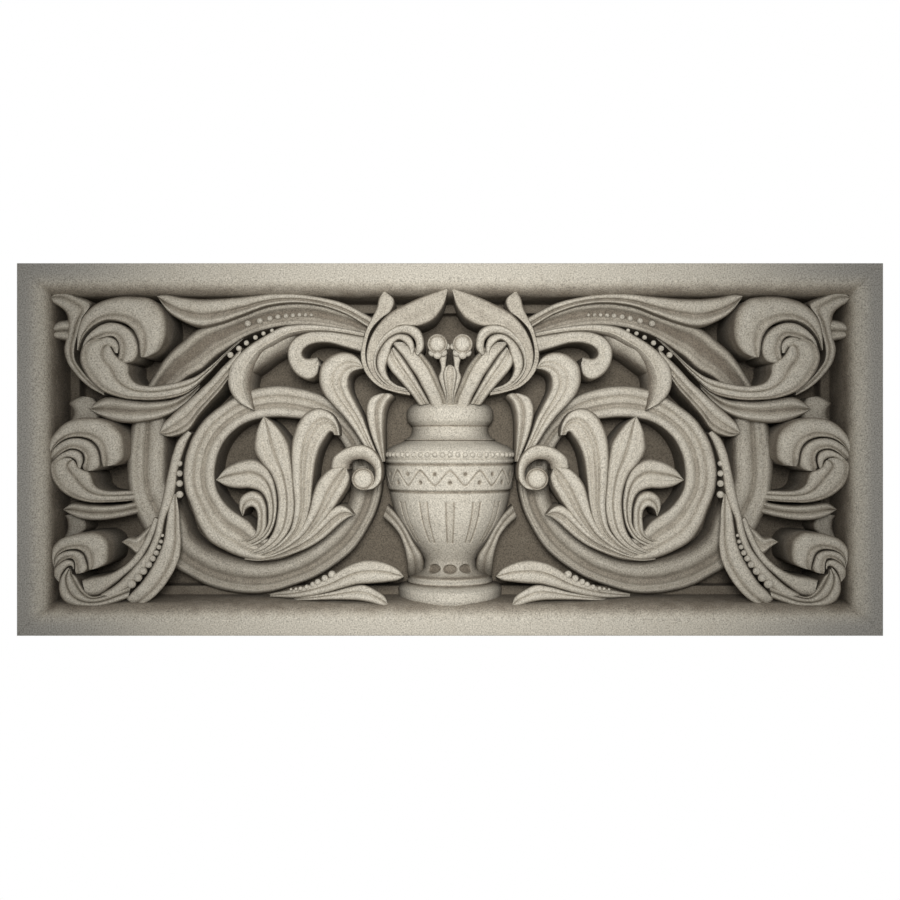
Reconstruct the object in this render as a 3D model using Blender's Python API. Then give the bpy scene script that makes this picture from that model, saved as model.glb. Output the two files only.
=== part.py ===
"""Carved sandstone wall panel: an urn of flowers between two scrolls of leaves, in a moulded frame.

The panel is one block. It hangs with its back on the plane Y = 0, faces -Y, and its origin is the
middle of its back. Every leaf and stem is lofted through ribs. A rib is a cut across the leaf: the
points of its two edges, as they look on the front plane, and the depth of its crest behind it.
"""
import math

import bmesh
import bpy
import numpy as np

# Driving dimensions, in metres
PANEL_LENGTH = 0.867
PANEL_HEIGHT = 0.373
RIM_WIDTH = 0.015          # flat outer band of the frame
SLOPE_WIDTH = 0.016        # band that falls from the rim to the recess
SLOPE_DROP = 0.014
SLOPE_BREAK_SHARE = 0.6    # share of that width after which the slope steepens
SLOPE_DROP_SHARE = 0.24    # share of the drop reached there
RECESS_DRAFT = 0.003       # lean of the recess wall
STEP_HEIGHT = 0.020        # flat step round the ground, above it
STEP_WIDTH = 0.009
GROUND_DEPTH = 0.082       # front plane to the ground behind the carving
BACK_THICKNESS = 0.018     # stone left behind the ground
FOOT_SINK = 0.005          # how far the carving's feet reach into that stone
VIEW_DISTANCE = 1.150      # distance from which the ribs were drawn
URN_AXIS_HEIGHT = 0.010    # ground to the axis of the half-round urn
FLUTE_COUNT = 5            # hollows on the front of the urn's body
FLUTE_PITCH = 0.46         # angle between them, in radians
FLUTE_SPREAD = 0.07        # half the angle that each takes
FLUTE_DEPTH = 0.0020
URN_END_SHARES = (0, 0.34, 0.86)  # points of the plain stone beside the flutes, as shares of its angle
FULL_RISE_SHARE = 0.6      # share of a leaf's greatest width from which it has its full rise
KNOB_TOP_SHARE = 0.75      # share of a knob's radius that its flat top has
FACET_ERROR = 0.0085       # how far a straight stretch of a leaf may leave its drawn curve
BEDDING = 0.00011          # each form lies this much deeper than the one before, so no faces coincide
MERGE_DISTANCE = 0.00005   # points nearer than this are one, as at a pointed tip

PANEL_DEPTH = GROUND_DEPTH + BACK_THICKNESS
STEP_DEPTH = GROUND_DEPTH - STEP_HEIGHT
URN_AXIS_DEPTH = GROUND_DEPTH - URN_AXIS_HEIGHT
FIELD_HALF_LENGTH = PANEL_LENGTH / 2 - RIM_WIDTH - SLOPE_WIDTH
FIELD_HALF_HEIGHT = PANEL_HEIGHT / 2 - RIM_WIDTH - SLOPE_WIDTH

# The ribs are shares of the field, in units of which it has these
UNIT_COUNT_LONG = 402.5
UNIT_COUNT_HIGH = 155.5
UNIT_COUNT_DEEP = 82.0

# Cuts across a leaf: share of its width, and height from its edge (0) to its crest (1)
ROLL = [(0, 0), (0.28, 1), (0.72, 1), (1, 0)]
TWO_ROLLS = [(0, 0), (0.24, 1), (0.52, 0.4), (0.78, 1), (1, 0)]
LIPPED = [(0, 0), (0.32, 1), (0.7, 0.4), (0.88, 0.7), (1, 0)]
BAND = [(0, 0), (0.12, 0.9), (0.33, 0.4), (0.66, 1), (1, 0.1)]
FALL = [(0, 1), (0.5, 0.7), (1, 0)]

carving = []


def place(side, across, up, depth):
    """Point of the panel for a drawn point: units across and up on the front plane, and depth."""
    deep = depth * GROUND_DEPTH / UNIT_COUNT_DEEP + len(carving) * BEDDING
    spread = 1 + deep / VIEW_DISTANCE
    x = side * across * FIELD_HALF_LENGTH / UNIT_COUNT_LONG * spread
    z = up * FIELD_HALF_HEIGHT / UNIT_COUNT_HIGH * spread
    return x, deep - PANEL_DEPTH, z


def foot(point):
    """Point straight behind another, in the stone under the ground."""
    return point[0], FOOT_SINK - BACK_THICKNESS + len(carving) * BEDDING, point[2]


def add_mesh(name, verts, faces):
    """Closed mesh object from points and faces, with its faces turned outwards."""
    mesh = bpy.data.meshes.new(name)
    bm = bmesh.new()
    points = [bm.verts.new(v) for v in verts]
    for face in faces:
        bm.faces.new([points[i] for i in face])
    bmesh.ops.remove_doubles(bm, verts=bm.verts, dist=MERGE_DISTANCE)
    bmesh.ops.recalc_face_normals(bm, faces=bm.faces)
    bm.to_mesh(mesh)
    bm.free()
    obj = bpy.data.objects.new(name, mesh)
    bpy.context.scene.collection.objects.link(obj)
    return obj


def bending(ribs):
    """The ribs that a straight-sided leaf needs: those between are nearer than FACET_ERROR to it."""
    if len(ribs) < 3:
        return ribs
    first = np.array(ribs[0], float)
    last = np.array(ribs[-1], float)
    steps = [math.dist(a[0:2], b[0:2]) + math.dist(a[2:4], b[2:4]) for a, b in zip(ribs, ribs[1:])]
    along = np.cumsum(steps)[:-1] / sum(steps)
    errors = [
        np.abs(np.array(rib) - first - (last - first) * share).max()
        for rib, share in zip(ribs[1:-1], along)
    ]
    worst = int(np.argmax(errors)) + 1
    if errors[worst - 1] < FACET_ERROR * UNIT_COUNT_LONG / FIELD_HALF_LENGTH:
        return [ribs[0], ribs[-1]]
    return bending(ribs[:worst + 1])[:-1] + bending(ribs[worst:])


def loft(side, ribs, rise, cut):
    """Rings of a leaf: over its top from edge to edge, then back along its foot."""
    widths = [math.dist(rib[0:2], rib[2:4]) for rib in ribs]
    rings = []
    for rib, width in zip(ribs, widths):
        x1, z1, x2, z2, depth = rib
        local = rise * math.sqrt(min(1, width / (FULL_RISE_SHARE * max(widths))))
        top = [
            place(side, x1 + (x2 - x1) * share, z1 + (z2 - z1) * share, depth + local * (1 - height))
            for share, height in cut
        ]
        rings.append(top + [foot(top[-1]), foot(top[0])])
    return rings


def leaf(name, ribs, rise=8, cut=TWO_ROLLS, sides=(-1, 1)):
    """A leaf or stem on both halves of the panel, as one object of separate closed bodies."""
    verts = []
    faces = []
    ribs = bending(ribs)
    for side in sides:
        rings = loft(side, ribs, rise, cut)
        size = len(rings[0])
        start = len(verts)
        for ring in rings:
            verts.extend(ring)
        for i in range(len(rings) - 1):
            for j in range(size):
                a = start + i * size + j
                b = start + i * size + (j + 1) % size
                faces.append((a, b, b + size, a + size))
        faces.append(tuple(start + j for j in range(size)))
        faces.append(tuple(start + (len(rings) - 1) * size + j for j in range(size)))
    carving.append(add_mesh(name, verts, faces))


def knob(name, across, up, depth, radius, height, sides=(-1, 1), count=8):
    """A round button: a disc with a softened rim on a straight shank."""
    verts = []
    faces = []
    for side in sides:
        start = len(verts)
        rows = [(KNOB_TOP_SHARE, 0), (1, 1)]
        for share, fall in rows:
            for i in range(count):
                turn = 2 * math.pi * i / count
                verts.append(place(side, across + radius * share * math.cos(turn),
                                   up + radius * share * math.sin(turn), depth + height * fall))
        verts.extend([foot(v) for v in verts[-count:]])
        for row in range(len(rows)):
            for i in range(count):
                a = start + row * count + i
                b = start + row * count + (i + 1) % count
                faces.append((a, b, b + count, a + count))
        faces.append(tuple(start + i for i in range(count)))
        faces.append(tuple(start + len(rows) * count + i for i in range(count)))
    carving.append(add_mesh(name, verts, faces))


def frame():
    """The block: flat rim, falling slope, deep recess wall, step, ground and plain back."""
    half_length = PANEL_LENGTH / 2
    half_height = PANEL_HEIGHT / 2
    rows = [
        (0, PANEL_DEPTH),
        (0, 0),
        (RIM_WIDTH, 0),
        (RIM_WIDTH + SLOPE_WIDTH * SLOPE_BREAK_SHARE, SLOPE_DROP * SLOPE_DROP_SHARE),
        (RIM_WIDTH + SLOPE_WIDTH, SLOPE_DROP),
        (RIM_WIDTH + SLOPE_WIDTH + RECESS_DRAFT, STEP_DEPTH),
        (RIM_WIDTH + SLOPE_WIDTH + RECESS_DRAFT + STEP_WIDTH, STEP_DEPTH),
        (RIM_WIDTH + SLOPE_WIDTH + RECESS_DRAFT + STEP_WIDTH, GROUND_DEPTH),
    ]
    verts = []
    faces = []
    for inset, depth in rows:
        x = half_length - inset
        z = half_height - inset
        verts += [(x, depth - PANEL_DEPTH, z), (-x, depth - PANEL_DEPTH, z),
                  (-x, depth - PANEL_DEPTH, -z), (x, depth - PANEL_DEPTH, -z)]
    for row in range(len(rows) - 1):
        for i in range(4):
            a = row * 4 + i
            b = row * 4 + (i + 1) % 4
            faces.append((a, b, b + 4, a + 4))
    faces.append((0, 1, 2, 3))
    last = 4 * (len(rows) - 1)
    faces.append((last, last + 1, last + 2, last + 3))
    return add_mesh("carved_panel", verts, faces)


def top_volute():
    """Scroll in the upper corner: its stem and eye, two nested bands, and the leaves outside it."""
    leaf("top_stem", [
        (205, 112, 203, 116, 32), (225, 93, 222, 99.5, 29), (243, 73.5, 238, 85, 25),
        (262, 57, 254, 73.5, 21), (285, 50.5, 276, 66.5, 17), (308, 49.5, 300, 63.5, 13),
        (330, 52, 314, 67, 10), (350, 60, 320, 76, 8), (364, 75, 321, 85, 7), (370, 93, 330, 91, 6),
        (366, 105, 334, 94.5, 6), (356, 111, 336.5, 98, 6.5), (347, 111, 338, 100, 8)], 9)
    leaf("top_eye", [
        (350, 111.5, 343, 102, 10), (342, 113, 340, 102, 7), (335, 110.5, 338.5, 101.5, 7.5),
        (330.8, 104, 337, 99, 8.5), (331.5, 96.5, 335.5, 96.5, 10)], 6, ROLL)
    leaf("top_outer_band", [
        (373, 100, 372, 99, 16), (372, 118, 367, 112, 12), (366, 134, 358, 122.5, 9),
        (354, 145.5, 348, 128, 7), (335, 152, 338, 129.3, 5), (315, 153, 326, 126.5, 3),
        (297, 149.5, 317, 120, 2), (286, 137, 312.5, 112, 1), (283, 121, 311, 106, 2),
        (285.5, 107, 310.5, 99.5, 4), (292, 97.5, 310, 95, 7), (302, 92.5, 309, 92.5, 10)], 9, LIPPED)
    leaf("top_inner_band", [
        (369, 96, 368, 96, 16), (365, 110, 361, 106.5, 12), (355, 121, 352, 110, 9),
        (342, 126.8, 344, 112.3, 7), (328, 124.8, 337, 112.8, 6), (318, 117.5, 332.5, 108.5, 5),
        (312.5, 107, 330.8, 102, 5), (312, 96, 331, 96, 6), (317, 88, 332, 91, 8),
        (326, 86, 331, 88, 11)], 8, ROLL)
    leaf("corner_leaf", [
        (399.8, 151.7, 399.8, 151.7, 13), (397, 146.8, 395.5, 156.3, 11), (391, 143, 385, 158, 10),
        (385.5, 138.5, 372, 153.5, 11), (382.5, 132, 358, 146.5, 13), (382, 120, 366, 133, 15),
        (384, 110, 371, 116, 18), (386.3, 100, 374.5, 101, 20), (383, 87.5, 374, 90, 21),
        (374, 74.5, 368, 80, 22), (361, 62.5, 357, 67.5, 24), (346, 54, 346, 58, 27)], 8)
    leaf("corner_curl", [
        (380, 130, 380, 108, 20), (388, 129, 387, 109.3, 18), (394, 127, 392.5, 110.3, 17),
        (398.7, 123.3, 397, 112, 17.5), (401.3, 118.8, 400.5, 115, 19.5)], 8)


def middle_volute():
    """Scroll half way down the short side: its stem and three nested bands."""
    leaf("middle_stem", [
        (306, -50, 305, -40, 40), (325, -52, 324, -41, 29), (342, -53, 341, -41.2, 20),
        (358, -53, 350, -39, 13), (373, -50, 355.5, -34, 9), (386, -43.5, 357.5, -27.5, 7),
        (395.5, -34, 360, -22.5, 6), (400, -22, 366, -20.5, 6), (399, -13, 371, -18, 6),
        (390.5, -8, 373, -15, 7), (381, -7.8, 375, -12, 9)], 9)
    leaf("middle_outer_band", [
        (400.5, -16, 399.5, -14, 16), (402.5, -4, 398, -2.5, 12), (401, 8, 392, 5.5, 10),
        (394, 18.5, 383, 11, 8), (383, 27.5, 373, 12.6, 6), (368, 31.8, 364, 11.5, 4),
        (351, 31, 356.5, 7.8, 3), (337.5, 25.5, 352, 2.5, 2), (328.5, 16, 350, -3, 2),
        (325.5, 3, 349, -8.5, 3), (326.5, -9, 348.3, -13, 6), (333, -15, 347, -17, 10)],
        9, LIPPED)
    leaf("middle_inner_band", [
        (401, -13, 401, -13, 16), (398.5, -2, 394, -8.5, 12), (390.5, 6, 387.5, -3, 9),
        (380, 10.8, 380, 0.5, 8), (369, 11.2, 373, 0, 7), (359, 7.5, 367.5, -3, 6),
        (352.5, 0.5, 365.5, -7.5, 6), (350, -9, 366, -12.5, 6), (350.5, -17.5, 367.5, -17.5, 8),
        (357, -21.5, 366, -21, 11)], 8, ROLL)
    leaf("middle_eye_band", [
        (400.5, -16, 400, -18, 14), (395, -9, 392, -13, 11), (386, -2.5, 384, -8, 9),
        (377, 0, 377.5, -9, 8), (369, -3, 374, -12, 8), (366.5, -10, 373.5, -17, 9),
        (369, -19, 373, -21, 11)], 6, ROLL)
    leaf("bud_leaf", [
        (368, 53.5, 356, 51, 38), (376, 50.5, 352, 46, 36), (381, 46, 350, 40, 35),
        (378, 41, 350, 35, 35), (377, 35, 352, 30, 36), (380, 28, 358, 24, 38)], 6, ROLL)


def lower_volute():
    """Scroll in the lower corner: its stem and three nested bands."""
    leaf("lower_stem", [
        (322, -149, 318, -132, 14), (336, -154, 332, -138, 11), (350, -157.3, 346, -144.5, 9),
        (364, -157.3, 357, -147, 8), (378, -156, 364.5, -142, 7), (387.5, -150, 369.5, -134, 6),
        (391, -140.5, 373, -128, 6), (390, -130, 376, -125, 7), (385.5, -121.5, 378, -124, 8),
        (382.5, -118, 378.5, -121, 10)], 9)
    leaf("lower_outer_band", [
        (394.5, -122, 394, -120, 16), (398.3, -110, 395, -111, 12), (398, -99, 391, -105, 10),
        (391, -90.5, 384, -101, 8), (379, -85.5, 377, -99.8, 6), (364, -83, 371, -100.3, 4),
        (351, -83.5, 366.5, -103, 3), (342.5, -90.5, 364, -107, 2), (340.5, -102, 362.5, -112, 3),
        (343.5, -114, 361.5, -118, 5), (352, -118.5, 361, -120.5, 8)], 9, LIPPED)
    leaf("lower_inner_band", [
        (396, -119, 395.5, -119, 16), (395, -110, 391, -114.5, 11), (389, -103.5, 385, -110.5, 9),
        (380, -101, 380.5, -109, 8), (372, -101.7, 377, -109.8, 7), (366.5, -105, 375.5, -113, 6),
        (363.7, -112, 375, -117.5, 6), (362.5, -119, 375, -121.5, 7), (366, -123, 374, -124.5, 10)],
        8, ROLL)
    leaf("lower_eye_band", [
        (396.3, -126, 390, -134, 13), (396, -119, 388.5, -127, 10), (390, -113.5, 386, -121.5, 8),
        (382, -110, 381.5, -117, 8), (376.5, -112, 378, -117, 9), (375.5, -118, 377, -120, 11)], 6, ROLL)


def side_leaves():
    """Leaves and stems between the three scrolls of a side."""
    leaf("cleft_leaf", [
        (361, 40.5, 361, 40.5, 28), (355, 46.5, 351, 34, 24), (345, 52, 338, 28.5, 22),
        (328, 51, 322, 26.5, 20), (310, 48.5, 306, 28, 20), (292, 48.5, 289, 31.5, 22),
        (276, 50.5, 275, 37.5, 25), (262, 57, 263, 47, 29), (250, 66, 251, 60, 34)], 8)
    leaf("lance_leaf", [
        (387, -60, 387, -60, 24), (379, -54, 378, -66, 20), (362, -55, 361, -70.5, 18),
        (343, -56, 342, -70, 20), (326, -54.5, 327, -67.5, 27), (304, -49, 304, -62, 42)], 7)
    leaf("side_link", [
        (386, -66, 372, -64, 42), (383, -71, 364, -71, 40), (382.5, -78, 363, -78, 40),
        (386, -88, 374, -88, 42)],
        5, ROLL)
    leaf("broad_stem", [
        (316, 36, 284, 36, 38), (320, 15, 283, 15, 35), (322.5, 0, 282.5, 0, 34),
        (323, -16, 283, -16, 33), (322.5, -30, 283, -30, 33), (320.5, -44, 280, -42, 33),
        (315, -61, 272, -54, 34), (306.5, -79, 265, -66, 36), (297, -95, 260, -79, 39),
        (287, -108, 256, -90, 44), (276, -118, 252, -97, 52)], 8)
    leaf("spur_leaf", [
        (328.5, -92.5, 328.5, -92.5, 28), (321, -88, 320, -98.5, 24), (314, -88, 312.5, -105, 23),
        (306, -81.5, 306, -100, 24), (298, -74, 299, -86, 27)], 6, ROLL)
    leaf("beaded_stem", [
        (263, 19, 258, 16, 27), (271, 11, 263, 6, 25), (277, -3, 268, -8, 23), (281, -19, 272, -22, 21),
        (284.5, -35, 274, -38, 19), (288, -51, 278, -54, 17), (291.5, -66, 284.5, -69, 16),
        (295, -82, 287.5, -84, 15), (301, -98, 292, -97, 14), (311, -112, 299, -112, 13),
        (323, -125, 309, -127, 12), (336, -136.5, 321, -138, 11), (350, -145, 335, -148, 11)], 7, ROLL)
    leaf("hooked_stem", [
        (277, -45, 274, -44, 23), (280.5, -54, 272, -53, 20), (282.5, -63, 270.8, -62, 18),
        (284, -74, 270, -76, 16), (286.5, -90, 269, -91, 14), (292, -105, 271, -109, 13),
        (299.5, -119, 278, -125, 12), (309, -133, 289, -140.5, 12), (319.5, -144, 301, -151.5, 13),
        (323.5, -149.5, 309, -156, 16), (319.5, -153.5, 314, -157, 20)], 8)
    leaf("cupped_stem", [
        (296, -68, 291, -70, 24), (302, -83, 296, -86, 21), (309, -97, 303, -101, 20),
        (318, -109, 312, -114, 19), (330, -119, 325, -126, 18), (345, -125.5, 338, -137, 17),
        (358, -127.5, 352, -146, 16), (368, -130, 364, -147, 14)], 6, ROLL)


def top_leaves():
    """Stems that stream out of the bouquet under the upper moulding."""
    leaf("streaming_leaf", [
        (293, 153.5, 293, 153.5, 10), (285, 155.4, 284, 140, 8), (268, 152.3, 268, 128.5, 7),
        (250, 150.5, 250, 122.8, 8), (228, 151, 230, 126, 8), (205, 153, 208, 134, 8),
        (180, 156, 182, 143.5, 9), (160, 156.3, 160, 146.5, 10), (130, 152.5, 130, 144, 12),
        (105, 146, 106, 136, 15), (76, 131, 82, 122, 21)], 8)
    leaf("channel_stem", [
        (317, 30, 286, 30, 39), (312, 46, 284, 45, 38), (303, 63, 279, 57, 35), (292, 81, 272, 64, 31),
        (281, 96, 262, 71.5, 28), (267, 108.5, 247, 80, 26), (250, 121.5, 234, 92, 25),
        (230, 128, 218, 103, 25), (208, 135, 204, 112, 25), (185, 144, 184, 119, 25),
        (160, 148, 160, 123, 25), (130, 146, 130, 122, 25), (105, 138, 106, 118, 27),
        (78, 126, 84, 112, 32)], 7)
    leaf("long_leaf", [
        (290.5, 17, 290, 16, 26), (288, 24, 283, 13, 22), (279, 34, 271, 14.5, 20),
        (266, 45, 261, 20, 18), (253, 57, 251, 34, 16), (240, 69, 240, 47, 14), (228, 82, 230, 58, 12),
        (218, 92, 223, 68, 12), (208, 102, 213, 84, 12)], 8)
    leaf("sickle_leaf", [
        (86, 117, 86, 112, 26), (108, 121.5, 107, 115.5, 21), (130, 124.3, 128, 117.5, 16),
        (150, 125, 148, 116, 13), (168, 122.5, 162, 112, 11), (184, 114.5, 176, 104, 9),
        (199, 105, 187, 97, 8), (211, 95, 195, 86, 7), (219.5, 84, 199, 76, 7),
        (222.3, 70, 200.5, 68, 8), (219, 56.5, 200, 58, 9), (210, 46, 198, 48, 11),
        (196.5, 39.7, 196.5, 39.7, 15)], 8, ROLL)
    leaf("sickle_facet", [
        (152, 117.5, 155, 107, 24), (165, 114, 160.5, 99, 19), (178, 107, 175, 91.5, 15),
        (189, 98, 186, 83.5, 14), (196, 89, 194, 77.5, 14), (199, 80, 198, 75, 16)], 16, FALL)
    leaf("hook_leaf", [
        (86, 113, 87, 96.5, 24), (105, 116, 103, 101.3, 19), (125, 118.3, 121, 106.2, 15),
        (143, 117, 135, 105.7, 12), (155, 111.5, 143, 102.5, 10), (161.5, 103, 147, 98, 9),
        (162.3, 92, 147, 94, 8), (158.5, 81, 144.5, 91.5, 8), (150, 72.5, 141, 91, 8),
        (141, 69.5, 138, 91.5, 9), (133, 74, 135, 92, 11), (130.5, 83, 133, 92.5, 14)],
        8, ROLL)
    leaf("swan_leaf", [
        (87, 82, 87, 81, 13), (91, 90.5, 92, 79.5, 9), (99, 96, 97, 77, 7), (109, 97, 100, 73.5, 6),
        (120, 93, 101, 69.5, 5), (128.5, 84.5, 101, 66, 5), (131, 72, 100.5, 61.5, 6),
        (128, 58.5, 97.5, 54, 8), (119, 46, 91.5, 42.5, 11), (107, 33, 86, 31, 14),
        (96.5, 19.5, 81.5, 18, 17), (87, 5, 76.5, 5, 21), (76, -8, 71, -8, 26)], 8)
    leaf("neck_leaf", [
        (70, 56, 60, 56, 15), (78, 53, 57, 54, 12), (83, 46, 62, 47, 12), (84, 38, 65, 38, 13),
        (82.5, 27, 66, 27, 15), (78.5, 13, 66, 14, 18), (72.5, -2, 65.5, -2, 23), (68, -12, 65, -12, 27)],
        7)


def ring():
    """The great spiral: round the bottom, up beside the urn, over the top and in to the palmette."""
    leaf("outer_ring", [
        (292, -62, 266, -42, 64), (295, -85, 264, -64, 46), (287, -108, 260, -79, 38),
        (274, -119, 255, -87, 38), (262, -126, 248.5, -93, 40), (243, -136, 236, -100, 42),
        (222, -142, 220, -106, 42),
        (200, -144.5, 202, -110, 40), (177, -142.5, 183, -111, 40), (155, -136, 166, -108, 40),
        (134, -128, 150, -101, 40), (112, -114, 134, -90, 40), (95, -99, 119, -77, 41),
        (82, -79, 107, -63, 42), (73, -60, 100, -48, 43), (68, -40, 99, -34, 44), (68, -18, 98, -16, 46)],
        10, BAND)
    leaf("inner_ring", [
        (70, -22, 98, -20, 50), (76, 0, 102, -6, 48), (86, 18, 109, 8, 44), (99, 33, 120, 20, 39),
        (113, 46, 133, 27, 34), (130, 55.5, 145, 29.5, 30), (150, 61.5, 157, 31, 27),
        (170, 64, 170, 32, 25), (190, 62, 186, 31, 24), (210, 55.5, 202, 27, 23),
        (229, 44, 215, 19, 22), (246, 30, 225, 8, 22), (258, 12, 231, -4, 22), (265, -8, 234, -17, 22),
        (267, -26, 234.5, -29, 22), (265, -42, 232.5, -40, 22), (259, -57, 227, -50, 22),
        (252, -75, 219, -59, 22), (240, -92, 209, -66, 22), (224, -101.5, 200, -72, 22),
        (206, -108.5, 192, -82, 22), (190, -111, 183, -88, 23), (172, -110, 170, -90, 25),
        (155, -104, 157, -88, 28), (140, -95, 145, -84, 32)], 9)


def palmette():
    """Fan of leaves and curls that fills the ring, rooted where the ring ends."""
    leaf("fan_hook", [
        (207.5, -66.5, 206.5, -66, 26), (211, -57, 204, -60, 20), (209, -47.5, 200, -57.5, 17),
        (200, -41.8, 197, -57.5, 15), (190, -44.5, 194, -60.5, 14), (184.5, -54, 192.5, -66, 14),
        (183, -67, 193, -75, 15), (183.5, -78, 194.5, -83, 16.5), (187.5, -86, 199, -88.5, 18),
        (193.5, -91.5, 205, -90.5, 20), (203, -95, 212, -91, 24)], 6, ROLL)
    leaf("fan_side_leaf", [
        (234, -30.5, 234, -30.5, 26), (224, -18.5, 224, -36.5, 20), (210, -11.5, 211, -39, 18),
        (196, -9.5, 200, -39, 17), (184, -16.5, 190.5, -42, 16), (177, -28, 185, -48.5, 15),
        (173.5, -42, 182.5, -58, 15), (172.5, -56, 182, -69, 15), (174, -69, 183, -76, 16),
        (177.5, -80, 187, -83, 17), (183, -88.5, 193, -88.5, 18.5), (191, -94.5, 202, -92, 21),
        (203, -99.5, 211, -95.5, 25)], 7)
    leaf("fan_tall_leaf", [
        (186.5, 33, 186, 33, 16), (191, 25, 177, 27, 12), (195, 12, 168, 17, 10),
        (195.5, -1, 161, 5, 9), (189, -13, 158.5, -9, 9), (180, -23.5, 157, -23, 9),
        (174, -38, 156, -38, 10), (172, -54, 155, -53, 11), (173.5, -69, 156, -67, 12),
        (176.5, -81, 160, -80, 13.5), (182, -90, 167.5, -91, 15), (190, -97, 178, -99.5, 18),
        (202, -102.5, 193, -105, 22), (212, -104, 208, -106, 26)], 8)
    leaf("fan_great_curl", [
        (110, 14.5, 116, 14.5, 13), (112, 25.5, 117.5, 17, 8), (119, 36.5, 119.5, 17.5, 6),
        (131, 41.5, 121, 16, 5), (144, 36.5, 123, 13, 5), (152, 26, 126, 8.5, 5),
        (157, 12, 130.5, 0, 6), (159, -5, 134, -12, 7), (158.5, -22, 136, -26, 8),
        (157.5, -38, 137.5, -40, 9), (156, -54, 139, -54, 10), (157, -68, 143, -70, 12),
        (160, -80, 149, -82, 14), (166.5, -89, 158, -92, 16), (176, -97.5, 170, -101, 19),
        (190, -103.5, 187, -107, 23), (200, -106, 199, -108.5, 27)], 8)
    leaf("fan_lobe", [
        (108, -17.3, 103, -19.5, 13), (118, -18.5, 99.8, -27, 9), (127, -25, 102, -36.5, 8),
        (134, -35, 107.5, -46, 8), (138, -47, 114, -56, 9), (141, -60, 121, -65, 10),
        (145.5, -72, 130, -76, 12), (152, -83, 140, -87, 14), (162, -92.5, 153, -97, 17),
        (174, -100.5, 168, -104, 20), (186, -106, 183, -109, 24), (196, -108, 195, -110, 28)], 8)
    leaf("fan_low_lobe", [
        (96, -65.5, 96, -65.5, 20), (101, -59.5, 101.5, -68, 14), (109, -55.5, 109, -73.5, 12),
        (118, -59, 117, -81, 12), (126, -68, 127, -89.5, 13), (135, -78.5, 138, -96.5, 14),
        (147, -88.5, 150, -102, 17), (160, -96.5, 164, -107, 19), (174, -103.5, 178, -110, 21),
        (190, -107.5, 193, -111.5, 24), (204, -107, 206, -110, 28)], 7, ROLL)
    leaf("small_crescent", [
        (119.5, -18, 101, -20, 15), (117, -8, 100, -14, 11), (108, -0.5, 97, -11, 9),
        (97, 4, 92, -9.8, 7), (85, 4.2, 86, -10.3, 6), (75.5, -1.5, 80, -14, 6),
        (69.5, -11, 76, -19, 6), (68, -22, 75, -25, 6), (69.5, -32, 77, -32, 6), (76, -39, 81, -36, 7),
        (85, -41, 86, -37, 9)], 6, ROLL)
    knob("small_ball", 87, -29.5, 5, 11.3, 7)


def low_leaves():
    """Two-lobed leaf that runs in beside the urn's foot."""
    leaf("foot_leaf_upper", [
        (46, -127, 46, -127, 14), (50, -121.5, 51, -130.3, 9), (61, -114.5, 63, -132.5, 7),
        (77, -110.5, 78, -134, 6), (92, -112, 92, -135, 7), (106, -118, 104, -138, 9),
        (120, -127, 118, -142, 13), (136, -133.5, 134, -146, 18), (155, -139, 155, -148.5, 27),
        (180, -144, 180, -147.5, 44)], 8)
    leaf("foot_leaf_lower", [
        (62, -156.3, 62, -156.3, 12), (66, -149.5, 69, -155.7, 8), (74, -140.5, 79, -153.3, 7),
        (86, -135.3, 92, -151, 8), (100, -137, 106, -150.5, 11), (116, -141.5, 122, -150.5, 15),
        (136, -145.5, 142, -151, 20), (162, -148, 162, -150.5, 42)], 7)
    leaf("body_calyx", [
        (67, -68, 62, -55, 52), (58, -76, 52, -66, 46), (50, -87, 43, -80, 43), (46, -98, 36, -93, 42),
        (43.5, -110, 28, -106, 45), (42.5, -121, 26, -117, 57), (42, -127, 27, -126, 69)], 6)


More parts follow.
